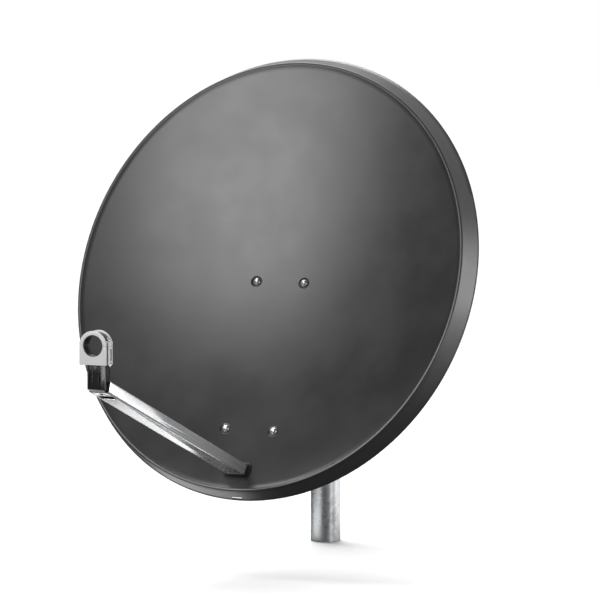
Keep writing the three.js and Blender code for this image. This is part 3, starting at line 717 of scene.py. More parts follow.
@dataclass
class Reflector:
    """The pressed bowl with its rolled bead, skirt, hem, bolt dimples and drain."""

    bowl: Bowl
    around: int = 300
    rings: int = 64
    sheet: float = 0.001
    bead: float = 0.003
    land: float = 0.0018
    hem: float = 0.0023
    skirt_depth: float = 0.0455
    flare_mean: float = 0.0186
    flare_top: float = 0.0078
    dimple_flat: float = 0.0084
    dimple_edge: float = 0.0112
    dimple_depth: float = 0.0016
    drain_width: float = 0.022
    drain_length: float = 0.009
    bolt_hole: float = 0.0046

    def bowl_ring(self, inset: float) -> Callable[[float], Vector]:
        """A ring of the bowl's face, a distance inside the rim."""
        def point(angle: float) -> Vector:
            shrink = 1 - inset / self.bowl.half_width
            across = self.bowl.half_width * shrink * cos(angle)
            up = self.bowl.half_height * shrink * sin(angle)
            return Vector((across, up, -self.bowl.depth(across, up)))
        return point

    def rim_ring(self, outset: Callable[[float], float], height: float) -> Callable[[float], Vector]:
        """A ring round the rim, an outset outside it and a height in front of it."""
        return lambda angle: Vector((
            (self.bowl.half_width + outset(angle)) * cos(angle),
            (self.bowl.half_height + outset(angle)) * sin(angle),
            height,
        ))

    def flare(self, angle: float) -> float:
        """How far the skirt's rear edge stands outside the rim."""
        return self.flare_mean + self.flare_top * sin(angle)

    def section(self) -> list[Callable[[float], Vector]]:
        """The sheet's section as rings, from the middle of the bowl to the end of the hem."""
        lip = 1.2 * self.bead + self.land
        width = self.bowl.half_width
        rings = [self.bowl_ring(width + (lip - width) * i / self.rings) for i in range(self.rings + 1)]
        turns = [(turn, -self.land) for turn in range(114, 89, -8)] + [(turn, 0.0) for turn in range(90, 16, -12)]
        for turn, shift in turns:
            out = shift + self.bead * cos(radians(turn))
            rings.append(self.rim_ring(lambda _, out=out: out, self.bead * (sin(radians(turn)) - 1)))
        bead_end, hem_start = rings[-1], self.hem_ring(72)
        for share in (0.25, 0.5, 0.75):
            rings.append(lambda angle, share=share: bead_end(angle).lerp(hem_start(angle), share))
        rings.extend(self.hem_ring(turn) for turn in range(72, -209, -20))
        return rings

    def hem_ring(self, turn: float) -> Callable[[float], Vector]:
        """A ring of the rolled rear hem, at an angle round its section in degrees."""
        out = self.hem * (cos(radians(turn)) - 1)
        height = self.hem * (sin(radians(turn)) + 1) - self.skirt_depth
        return self.rim_ring(lambda angle: self.flare(angle) + out, height)

    def disc(self) -> bpy.types.Object:
        """A flat disc of rings, spun from one spoke, then laid on the section."""
        rings = self.section()
        pitch = 0.001
        deselect()
        bpy.ops.mesh.primitive_grid_add(x_subdivisions=len(rings) - 1, y_subdivisions=1)
        obj = bpy.context.object
        bpy.ops.object.mode_set(mode="EDIT")
        bpy.ops.mesh.select_mode(type="VERT")
        bpy.ops.mesh.select_all(action="DESELECT")
        bpy.ops.object.mode_set(mode="OBJECT")
        for vertex in obj.data.vertices:
            vertex.select = vertex.co.y > 0
        bpy.ops.object.mode_set(mode="EDIT")
        bpy.ops.mesh.delete(type="VERT")
        bpy.ops.object.mode_set(mode="OBJECT")
        spoke = sorted(obj.data.vertices, key=lambda vertex: vertex.co.x)
        for index, vertex in enumerate(spoke):
            vertex.co = (index * pitch, 0, 0)
        bpy.ops.object.mode_set(mode="EDIT")
        bpy.ops.mesh.select_all(action="SELECT")
        bpy.ops.mesh.spin(steps=self.around, angle=2 * pi, center=(0, 0, 0), axis=(0, 0, 1))
        bpy.ops.mesh.select_all(action="SELECT")
        bpy.ops.mesh.remove_doubles(threshold=TIGHT)
        bpy.ops.object.mode_set(mode="OBJECT")
        for vertex in obj.data.vertices:
            ring = rings[round(hypot(vertex.co.x, vertex.co.y) / pitch)]
            vertex.co = ring(atan2(vertex.co.y, vertex.co.x))
        return obj

    def press_dimples(self, obj: bpy.types.Object) -> None:
        """Presses a flat round seat into the bowl for each bolt."""
        to_aperture = self.bowl.aperture.inverted() @ self.bowl.chord
        seats = [to_aperture @ bolt for bolt in self.bowl.bolts()]
        facing_out = to_aperture.to_3x3() @ Vector((0, 0, 1))
        reach = 1.45 * self.dimple_edge

        def near(centre: Vector) -> bool:
            return any(hypot(centre.x - s.x, centre.y - s.y) < reach for s in seats)

        for seat in seats:
            cuts = 3 if seat.y > -0.1 else 5
            select_faces(obj, lambda c, s=seat: hypot(c.x - s.x, c.y - s.y) < reach)
            bpy.ops.mesh.subdivide(number_cuts=cuts)
            bpy.ops.object.mode_set(mode="OBJECT")
        for vertex in obj.data.vertices:
            if not near(vertex.co) or vertex.co.z > -self.bead:
                continue
            x, y, _ = vertex.co
            face = -self.bowl.depth(x, y)
            seat = min(seats, key=lambda s: hypot(x - s.x, y - s.y))
            away = hypot(x - seat.x, y - seat.y)
            share = min(max((self.dimple_edge - away) / (self.dimple_edge - self.dimple_flat), 0), 1)
            share = share * share * (3 - 2 * share)
            flat = seat.z - (facing_out.y * (y - seat.y) + self.dimple_depth) / facing_out.z
            vertex.co.z = face + (flat - face) * share

    def build(self, arm: "FeedArm", coat: bpy.types.Material) -> None:
        """Makes the shell and cuts its openings."""
        obj = self.disc()
        self.press_dimples(obj)
        obj.data.transform(self.bowl.aperture)
        merge_and_face_out(obj)
        if obj.data.polygons[0].normal.y > 0:
            take(obj)
            bpy.ops.object.mode_set(mode="EDIT")
            bpy.ops.mesh.flip_normals()
            bpy.ops.object.mode_set(mode="OBJECT")
        modify(obj, "SOLIDIFY", thickness=self.sheet, offset=-1.0)
        tools = [arm.hole_tool(0.0015, 0.060)]
        for bolt in self.bowl.bolts():
            tools.append(bar(self.bowl.chord @ (bolt + Vector((0, 0, -0.015))),
                             self.bowl.chord @ (bolt + Vector((0, 0, 0.015))), self.bolt_hole))
        low = -self.skirt_depth + 2.2 * self.hem
        slot = rounded_rectangle(self.drain_width, low, low + self.drain_length, 0.002)
        lower_edge = -self.bowl.half_height - 0.006
        place = self.bowl.aperture @ Matrix.Translation((0, lower_edge, 0)) @ ALONG_Y
        tools.append(prism(slot, -0.010, 0.010, place))
        cut(obj, joined(tools))
        smooth(obj, radians(38))
        dress(obj, "reflector", coat)


# ---------------------------------------------------------------- feed arm and holder


@dataclass
class FeedArm:
    """The extruded tube that carries the receiver's clamp, and its collar at the bowl."""

    elevation: float = radians(21)
    foot: tuple[float, float] = (-0.4225, 0.1851)
    width: float = 0.040
    height: float = 0.0218
    wall: float = 0.002
    corner: float = 0.003
    reach: float = 0.593
    tail: float = 0.088
    slot: tuple[float, float, float] = (0.030, 0.548, 0.567)
    screw_at: float = 0.582
    tail_bolts: tuple[float, float] = (-0.036, -0.068)
    groove: tuple[float, float] = (0.0006, 0.0004)
    groove_inset: float = 0.0044

    @property
    def place(self) -> Matrix:
        """Takes (across, up from the underside, along) into the object's frame."""
        turn = Matrix.Rotation(pi / 2 - self.elevation, 4, "X")
        return Matrix.Translation((0, *self.foot)) @ turn

    def at(self, along: float, up: float, across: float = 0.0) -> Vector:
        """A point of the arm."""
        return self.place @ Vector((across, up, along))

    def hole_tool(self, clearance: float, reach: float) -> bpy.types.Object:
        """The space that the arm passes through, a little wider than the arm."""
        outline = rounded_rectangle(self.width + 2 * clearance, -clearance,
                                    self.height + clearance, self.corner + clearance)
        return prism(outline, -reach, reach, self.place)

    def outline(self) -> list[Point2]:
        """The tube's section, with a fine groove beside each corner on its wide faces."""
        half = self.width / 2
        r = self.corner
        width, depth = self.groove
        centre = half - self.groove_inset
        low = [(-centre - width / 2, 0), (-centre, depth), (-centre + width / 2, 0),
               (centre - width / 2, 0), (centre, depth), (centre + width / 2, 0)]
        high = [(x, self.height - y) for x, y in reversed(low)]
        return [
            *low,
            *arc(half - r, r, r, -pi / 2, 0, 6),
            *arc(half - r, self.height - r, r, 0, pi / 2, 6),
            *high,
            *arc(-half + r, self.height - r, r, pi / 2, pi, 6),
            *arc(-half + r, r, r, pi, 1.5 * pi, 6),
        ]

    def build(self, metal: bpy.types.Material, inside: bpy.types.Material) -> None:
        """Makes the tube with its bore, cable slot and holes, with painted shade on the faces inside the bore."""
        obj = prism(self.outline(), -self.tail, self.reach, self.place)
        bore = rounded_rectangle(self.width - 2 * self.wall, self.wall, self.height - self.wall,
                                 self.corner - self.wall, 4)
        slot_width, slot_from, slot_to = self.slot
        slot = [(x, y) for x, y in rounded_rectangle(slot_width, slot_from, slot_to, 0.003)]
        slot_place = self.place @ Matrix(((1, 0, 0, 0), (0, 0, 1, 0), (0, 1, 0, 0), (0, 0, 0, 1)))
        cut(obj,
            prism(bore, -self.tail - 0.01, self.reach + 0.01, self.place),
            prism(slot, -0.003, 0.004, slot_place),
            bar(self.at(self.screw_at, -0.003), self.at(self.screw_at, 0.005), 0.0024))
        for along in self.tail_bolts:
            middle = self.height / 2
            cut(obj, bar(self.at(along, middle, -0.03), self.at(along, middle, 0.03), 0.0043))
        soften(obj, 0.00025, 2, radians(60))
        smooth(obj)
        dress(obj, "feed_arm", metal, inside)
        to_arm = self.place.inverted()

        def in_bore(centre: Vector, _: Vector) -> bool:
            across, up, _along = to_arm @ centre
            return (abs(across) < self.width / 2 - 0.9 * self.wall
                    and 0.9 * self.wall < up < self.height - 0.9 * self.wall)

        # Painted shade: the faces inside the bore take the black moulding, though the tube is aluminium
        # throughout.
        paint_faces(obj, 1, in_bore)

    def build_collar(self, bowl: Bowl, plastic: bpy.types.Material) -> None:
        """The moulded collar, laid on the bowl, with a toothed lower lip."""
        foot_up = -0.3990
        low, high = foot_up - 0.0036, foot_up + self.height + 0.0042
        flange = prism(rounded_rectangle(0.056, low, high, 0.010, 8), AIR, 0.0030)
        upstand = prism(rounded_rectangle(0.0475, low + 0.0010, high - 0.0012, 0.0055, 6), 0.0012, 0.0064)
        soften(flange, 0.0009, 3)
        soften(upstand, 0.0007, 3)
        obj = fuse(flange, upstand)
        teeth = [
            prism([(x - 0.0006, low - 0.001), (x + 0.0006, low - 0.001),
                   (x + 0.0006, low + 0.0022), (x - 0.0006, low + 0.0022)], -0.001, 0.008)
            for x in [-0.0195 + 0.003 * i for i in range(14)]
        ]
        cut(obj, joined(teeth))
        for vertex in obj.data.vertices:
            vertex.co.z -= bowl.depth(vertex.co.x, vertex.co.y)
        obj.data.transform(bowl.aperture)
        cut(obj, self.hole_tool(AIR, 0.060))
        merge_and_face_out(obj)
        smooth(obj)
        dress(obj, "arm_collar", plastic)


@dataclass
class ReceiverClamp:
    """The fluted body on the arm's end and the two-part clamp that grips the receiver."""

    arm: FeedArm
    throat: float = 0.019
    centre: float = 0.4813
    half: float = 0.0264
    front: float = -0.9981
    depth: float = 0.0255
    drop: float = 0.0336
    ear: float = 0.0065
    screw_x: float = 0.0228
    screw_back: float = 0.0196
    screw_radius: float = 0.002

    @property
    def body_top(self) -> float:
        """Height of the fluted body's top face."""
        return self.centre - self.drop - AIR

    def slice(self, outline: Sequence[Point2], start: float, end: float) -> bpy.types.Object:
        """A block drawn across the throat, between two depths behind the front."""
        return prism(outline, self.front + start, self.front + end, ALONG_Y)

    def screw_point(self, side: float, height: float) -> Vector:
        """A point on a clamp screw's axis."""
        return Vector((side * self.screw_x, self.front + self.screw_back, height))

    def throat_tool(self) -> bpy.types.Object:
        """The round throat with its two grip grooves and a chamfered mouth."""
        r, d = self.throat, self.depth
        profile = [(0, -0.005), (r + 0.006, -0.005), (r, 0.0009)]
        for start in (0.0062, 0.0128):
            profile += [(r, start), (r + 0.0012, start + 0.0006),
                        (r + 0.0012, start + 0.0034), (r, start + 0.0040)]
        profile += [(r, d - 0.0009), (r + 0.006, d + 0.005), (0, d + 0.005)]
        return turned(profile, 72, facing(Vector((0, self.front, self.centre)), Vector((0, 1, 0))))

    def build_body(self, plastic: bpy.types.Material) -> None:
        """The fluted body with the tongue that plugs into the arm."""
        half, front, back = 0.0175, -0.9925, -0.9655
        slope, slant = 0.0050, 0.0074
        plan = [
            (-half, front + slant), (-half + slope, front),
            *self.flutes(front),
            (half - slope, front), (half, front + slant),
            (half, back - 0.0135), (half - 0.0016, back - 0.0125),
            (half - 0.0016, back - 0.0065), (half, back - 0.0055),
            *arc(half - 0.002, back - 0.002, 0.002, 0, pi / 2, 4),
            *arc(-half + 0.002, back - 0.002, 0.002, pi / 2, pi, 4),
            (-half, back - 0.0055), (-half + 0.0016, back - 0.0065),
            (-half + 0.0016, back - 0.0125), (-half, back - 0.0135),
        ]
        obj = prism(plan, 0.385, self.body_top)
        clear = self.arm.reach + AIR
        lower, upper = self.arm.at(clear, 0.0004), self.arm.at(clear, self.arm.height)
        side = [
            (front - 0.002, self.body_top + 0.002), *arc(front + 0.011, 0.4138, 0.0112, pi, 1.38 * pi, 8),
            (lower.y, lower.z), (upper.y, upper.z), (back + 0.002, self.body_top + 0.002),
        ]
        face = [
            *arc(-half + 0.0085, 0.3985 + 0.0085, 0.0088, pi, 1.5 * pi, 8),
            *arc(half - 0.0085, 0.3985 + 0.0085, 0.0088, -pi / 2, 0, 8),
            (half + 0.002, self.body_top + 0.002), (-half - 0.002, self.body_top + 0.002),
        ]
        combine(obj, [prism(side, -0.03, 0.03, ALONG_X)], "INTERSECT")
        combine(obj, [prism(face, front - 0.01, back + 0.01, ALONG_Y)], "INTERSECT")
        soften(obj, 0.0005, 3, radians(35))
        tongue = prism(rounded_rectangle(
            self.arm.width - 2 * self.arm.wall - 2 * AIR, self.arm.wall + AIR,
            self.arm.height - self.arm.wall - AIR, 0.0009),
            self.arm.reach - 0.022, self.arm.reach + 0.004, self.arm.place)
        fuse(obj, tongue)
        at = self.arm.screw_at
        cut(obj, bar(self.arm.at(at, 0), self.arm.at(at, 0.014), self.screw_radius + AIR))
        smooth(obj, radians(30))
        dress(obj, "holder_body", plastic)

    @staticmethod
    def flutes(front: float) -> list[Point2]:
        """Three flutes in the body's front, left to right, each with one sloping wall."""
        deep, slope, steep = 0.0026, 0.00175, 0.0008
        points: list[Point2] = []
        for x, half in ((-0.0096, 0.0024), (0.0, 0.0042), (0.0096, 0.0024)):
            points += [(x - half, front), (x - half + slope, front + deep),
                       (x + half - steep, front + deep), (x + half, front)]
        return points

    def build_base(self, light: bpy.types.Material, black: bpy.types.Material) -> None:
        """The clamp's lower half: front flange, recess and rear block, with painted shade in the recess and the
        throat.
        """
        low, high = self.centre - self.drop, self.centre - AIR / 2
        front = self.slice(rounded_rectangle(2 * self.half, low, high, 0.0012, 4), 0, 0.0028)
        waist = self.slice([(x * (self.half - 0.0030), z) for x, z in (
            (-1, low + 0.0005), (1, low + 0.0005), (1, high), (-1, high))], 0.002, 0.009)
        block = self.slice(rounded_rectangle(2 * self.half, low, high, 0.0012, 4), 0.0085, self.depth)
        soften(front, 0.0007, 3, radians(50))
        soften(block, 0.0007, 3, radians(50))
        obj = fuse(front, waist, block)
        tools = [self.throat_tool()]
        for side in (-1, 1):
            tools.append(bar(self.screw_point(side, low - 0.005), self.screw_point(side, high + 0.03),
                             self.screw_radius + AIR))
            tools.append(prism(hexagon(0.0078), low - 0.001, low + 0.004, Matrix.Translation(
                (side * self.screw_x, self.front + self.screw_back, 0))))
            tools.append(prism([
                (side * (self.half + 0.001), low + 0.006), (side * (self.half - 0.0014), low + 0.0075),
                (side * (self.half - 0.0014), high - 0.0065), (side * (self.half + 0.001), high - 0.005),
            ], self.front + 0.0115, self.front + self.depth - 0.0035, ALONG_Y))
        cut(obj, *tools)
        smooth(obj)
        dress(obj, "clamp_base", light, black)
        # Painted shade: the recessed waist between flange and block, and the throat, are made black.
        self.paint_recess_shade(obj, lambda c: 0.0030 < c.y - self.front < 0.0084
                     and abs(c.x) < self.half - 0.0025)

    def build_cap(self, light: bpy.types.Material, black: bpy.types.Material) -> None:
        """The clamp's upper half: a ring with two ears, with painted shade on the barrel between its flanges and
        in the throat.
        """
        front = self.slice(self.cap_outline(self.half), 0, 0.0028)
        barrel = self.slice(self.cap_outline(self.half - 0.0030), 0.002, self.depth - 0.002)
        back = self.slice(self.cap_outline(self.half), self.depth - 0.0035, self.depth)
        ears = [
            prism(rounded_rectangle(0.0098, self.front + 0.0085, self.front + self.depth, 0.002),
                  self.centre + AIR / 2, self.centre + self.ear,
                  Matrix.Translation((side * (self.half - 0.0049), 0, 0)))
            for side in (-1, 1)
        ]
        soften(front, 0.0006, 3, radians(50))
        soften(back, 0.0006, 3, radians(50))
        obj = fuse(front, barrel, back, *ears)
        tools = [self.throat_tool()]
        top = self.centre + 0.03
        for side in (-1, 1):
            tools.append(bar(self.screw_point(side, self.centre - 0.005),
                             self.screw_point(side, top), self.screw_radius + AIR))
            tools.append(bar(self.screw_point(side, self.centre + self.ear),
                             self.screw_point(side, top), 0.0041))
        cut(obj, *tools)
        smooth(obj)
        dress(obj, "clamp_cap", light, black)
        # Painted shade: the barrel between the flanges, above the ears and in the front groove, and the throat,
        # are made black.
        self.paint_recess_shade(obj, lambda c: 0.0029 < c.y - self.front < self.depth - 0.0036
                     and hypot(c.x, c.z - self.centre) > self.throat + 0.003
                     and (c.z > self.centre + self.ear - 0.0005 or c.y - self.front < 0.0084)
                     and not (c.y - self.front > 0.0084 and abs(c.x) > self.half - 0.0090
                              and c.z < self.centre + self.ear + 0.001))

    def cap_outline(self, radius: float) -> list[Point2]:
        """The cap's outline: flat at the parting, ears at the sides, round above."""
        low, shoulder = self.centre + AIR / 2, self.centre + self.ear
        start = asin(self.ear / radius)
        return [
            (-radius, low), (radius, low), (radius, shoulder),
            *arc(0, self.centre, radius, start, pi - start, 40), (-radius, shoulder),
        ]

    def paint_recess_shade(self, obj: bpy.types.Object, outside: Callable[[Vector], bool]) -> None:
        """Paints shade on the throat and on the faces that pass the test, by giving them the black moulding."""
        # Painted shade: the throat's bore and grip grooves, and the recess faces, take the black slot.
        def dark(centre: Vector, normal: Vector) -> bool:
            away = hypot(centre.x, centre.z - self.centre)
            inside = away < self.throat + 0.0016 and abs(normal.y) < 0.6 or (
                away < self.throat + 0.0014 and 0.002 < centre.y - self.front < self.depth - 0.002)
            return inside or outside(centre)
        paint_faces(obj, 1, dark)


# ---------------------------------------------------------------- fasteners


class Head(Enum):
    """How a screw is driven."""

    HEX = "hex"
    SOCKET = "socket"
    CROSS = "cross"


@dataclass(frozen=True)
class Thread:
    """A thread and the hexagon that goes with it."""

    radius: float
    pitch: float
    across: float
    head_height: float
    nut_height: float


M4 = Thread(0.002, 0.0007, 0.007, 0.003, 0.0032)
M8 = Thread(0.004, 0.00125, 0.013, 0.0053, 0.0065)
M10 = Thread(0.005, 0.0015, 0.016, 0.0064, 0.008)


@dataclass(frozen=True)
class Fastener:
    """A screw, made once on +Z with its seat at zero, then copied into place."""

    thread: Thread
    length: float
    head: Head = Head.HEX
    head_radius: float = 0.0
    head_height: float = 0.0
    plain: float = 0.0

    def shank_profile(self, top: float) -> list[Point2]:
        """Half the shank's outline, with a ridge for each turn of the thread."""
        r, pitch = self.thread.radius, self.thread.pitch
        root = r - 0.55 * pitch
        points = [(0, top), (r, top), (r, -self.plain)]
        z = -self.plain
        while z - pitch > -self.length + 0.6 * pitch:
            points += [(root, z - 0.5 * pitch), (r, z - pitch)]
            z -= pitch
        return [*points, (root, -self.length), (0, -self.length)]

    def make_head(self) -> bpy.types.Object:
        """The head alone, with its drive."""
        if self.head is Head.HEX:
            return chamfered_hexagon(self.thread.across, 0, self.thread.head_height, lower=False)
        r, h = self.head_radius, self.head_height
        dome = [(0, 0), (r, 0), (r, 0.22 * h),
                *[(r * cos(a), 0.22 * h + 0.78 * h * sin(a)) for a in
                  (radians(15 * i) for i in range(1, 4))],
                (0.48 * r, h), (0, h)]
        obj = turned(dome, 40)
        if self.head is Head.SOCKET:
            return cut(obj, prism(hexagon(0.72 * r), 0.35 * h, 1.5 * h))
        arm, slit = 0.62 * r, 0.15 * r
        for quarter in (0, pi / 2):
            outline = [(-arm, -slit), (arm, -slit), (arm, slit), (-arm, slit)]
            cut(obj, prism(outline, 0.4 * h, 1.5 * h, Matrix.Rotation(quarter, 4, "Z")))
        return obj

    def build(self) -> bpy.types.Object:
        """The whole screw."""
        obj = self.make_head()
        soften(obj, 0.00018, 2, radians(30))
        top = 0.3 * (self.head_height or self.thread.head_height)
        fuse(obj, turned(self.shank_profile(top), 24))
        return smooth(obj, radians(28))


def chamfered_hexagon(across: float, low: float, high: float, lower: bool) -> bpy.types.Object:
    """A hexagon block with its corners turned off at 30 degrees, on top and perhaps below."""
    corner = across / sqrt(3)
    inner = 0.96 * across / 2
    fall = (corner - inner) * tan(radians(30)) + 0.0001
    wide = corner + 0.0001
    bottom = [(0, low), (inner, low), (wide, low + fall)] if lower else [(0, low), (wide, low)]
    disc = turned([*bottom, (wide, high - fall), (inner, high), (0, high)], 48)
    return combine(prism(hexagon(across), low - 0.001, high + 0.001), [disc], "INTERSECT")


def make_nut(thread: Thread) -> bpy.types.Object:
    """A plain nut standing on its seat at zero, threaded inside."""
    obj = chamfered_hexagon(thread.across, 0, thread.nut_height, lower=True)
    r, h, pitch = thread.radius + AIR / 3, thread.nut_height, thread.pitch
    profile = [(0, -0.001), (r + 0.001, -0.001), (r - 0.0002, 0.0005)]
    turns = int((h - 0.001) / pitch)
    for i in range(turns):
        z = 0.0005 + (i + 0.5) * (h - 0.001) / turns
        profile += [(r + 0.4 * pitch, z), (r - 0.0002, z + 0.5 * (h - 0.001) / turns)]
    profile += [(r + 0.001, h + 0.001), (0, h + 0.001)]
    cut(obj, turned(profile, 24))
    return smooth(obj, radians(28))


def ring(outer: float, inner: float, length: float) -> bpy.types.Object:
    """A round spacer or washer with broken edges, standing on zero."""
    edge = min(0.0004, 0.2 * length)
    profile = [(inner, edge), (inner + edge, 0), (outer - edge, 0), (outer, edge),
               (outer, length - edge), (outer - edge, length), (inner + edge, length),
               (inner, length - edge)]
    return smooth(turned(profile, 48), radians(35))


@dataclass
class Hardware:
    """Every bolt, nut, washer and spacer of the assembly."""

    bowl: Bowl
    arm: FeedArm
    clamp: ReceiverClamp
    mount: "Mount"
    zinc: bpy.types.Material

    def place(self, master: bpy.types.Object, node: str, seat: Vector, direction: Vector) -> None:
        """Copies a fastener onto its seat and dresses it as a CAD node."""
        dress(copy_of(master, facing(seat, direction)), node, self.zinc)

    def build(self) -> None:
        """Makes each kind once and copies it to its places."""
        nuts = {thread: make_nut(thread) for thread in (M4, M8, M10)}
        self.reflector_bolts(nuts[M8])
        self.arm_bolts(nuts[M8])
        self.jaw_bolts(nuts[M8])
        self.tilt_bolts(nuts)
        self.clamp_screws(nuts[M4])
        for nut in nuts.values():
            bpy.data.objects.remove(nut)

    def reflector_bolts(self, nut: bpy.types.Object) -> None:
        """Four button heads in the bowl's dimples, with their nuts in the frame's feet."""
        button = Fastener(M8, 0.0205, Head.SOCKET, 0.0074, 0.0042).build()
        front = self.bowl.chord.to_3x3() @ Vector((0, 0, 1))
        for index, bolt in enumerate(self.bowl.bolts(), start=1):
            seat = self.bowl.chord @ (bolt + Vector((0, 0, -Reflector.dimple_depth)))
            self.place(button, f"reflector_bolt_{index}", seat, front)
            behind = self.bowl.chord @ (bolt + Vector((0, 0, self.mount.foot_inside - AIR)))
            self.place(nut, f"reflector_nut_{index}", behind, -front)
        bpy.data.objects.remove(button)

    def arm_bolts(self, nut: bpy.types.Object) -> None:
        """Two hex bolts through the gussets and the arm's tail."""
        seat = self.mount.gusset_inner + self.mount.plate + AIR
        bolt = Fastener(M8, 2 * seat + 0.011, plain=0.022).build()
        for index, along in enumerate(self.arm.tail_bolts, start=1):
            height = self.arm.height / 2
            self.place(bolt, f"arm_bolt_{index}", self.arm.at(along, height, seat), Vector((1, 0, 0)))
            self.place(nut, f"arm_nut_{index}", self.arm.at(along, height, -seat), Vector((-1, 0, 0)))
        bpy.data.objects.remove(bolt)

    def jaw_bolts(self, nut: bpy.types.Object) -> None:
        """Four long bolts that pull the jaws together round the mast."""
        bolt = Fastener(M8, 0.096, plain=0.040).build()
        front = self.mount.web_back - self.mount.plate - AIR
        places = self.mount.jaw_bolt_places()
        for index, (x, z) in enumerate(places, start=1):
            self.place(bolt, f"jaw_bolt_{index}", Vector((x, front, z)), Vector((0, -1, 0)))
            self.place(nut, f"jaw_nut_{index}", Vector((x, self.mount.rear_nut_y, z)), Vector((0, 1, 0)))
        bpy.data.objects.remove(bolt)

    def tilt_bolts(self, nuts: dict[Thread, bpy.types.Object]) -> None:
        """The pivot and lock bolts with their nuts, washer and spacers."""
        right, left = Vector((1, 0, 0)), Vector((-1, 0, 0))
        seat = self.mount.cheek_outer + AIR
        washer = 0.0016
        rows = (("pivot", M10, self.mount.pivot, 0.0), ("lock", M8, self.mount.lock, washer + 0.0004))
        for name, thread, (y, z), under_nut in rows:
            bolt = Fastener(thread, 2 * seat + 0.014, plain=0.030).build()
            self.place(bolt, f"{name}_bolt", Vector((seat, y, z)), right)
            self.place(nuts[thread], f"{name}_nut", Vector((-seat - under_nut, y, z)), left)
            half = self.mount.gusset_inner - AIR
            spacer = ring(thread.radius + 0.003, thread.radius + AIR, 2 * half)
            self.place(spacer, f"{name}_spacer", Vector((-half, y, z)), right)
            bpy.data.objects.remove(bolt)
            bpy.data.objects.remove(spacer)
        disc = ring(0.0085, M8.radius + AIR, washer)
        self.place(disc, "lock_washer", Vector((-seat, *self.mount.lock)), left)
        bpy.data.objects.remove(disc)

    def clamp_screws(self, nut: bpy.types.Object) -> None:
        """The clamp's two upright screws with their nuts, and the screw under the arm's end."""
        clamp = self.clamp
        long_screw = Fastener(M4, clamp.ear + clamp.drop + 0.0045, Head.CROSS, 0.0035, 0.003,
                              plain=0.004).build()
        for name, side in (("left", -1), ("right", 1)):
            top = clamp.screw_point(side, clamp.centre + clamp.ear + AIR)
            self.place(long_screw, f"clamp_screw_{name}", top, Vector((0, 0, 1)))
            below = clamp.screw_point(side, clamp.centre - clamp.drop - 0.0014)
            self.place(nut, f"clamp_nut_{name}", below, Vector((0, 0, 1)))
        bpy.data.objects.remove(long_screw)
        short = Fastener(M4, 0.013, Head.CROSS, 0.0036, 0.0016).build()
        seat = self.arm.at(self.arm.screw_at, -AIR)
        down = self.arm.place.to_3x3() @ Vector((0, -1, 0))
        self.place(short, "holder_screw", seat, down)
        bpy.data.objects.remove(short)


# ---------------------------------------------------------------- frame, bracket and mast


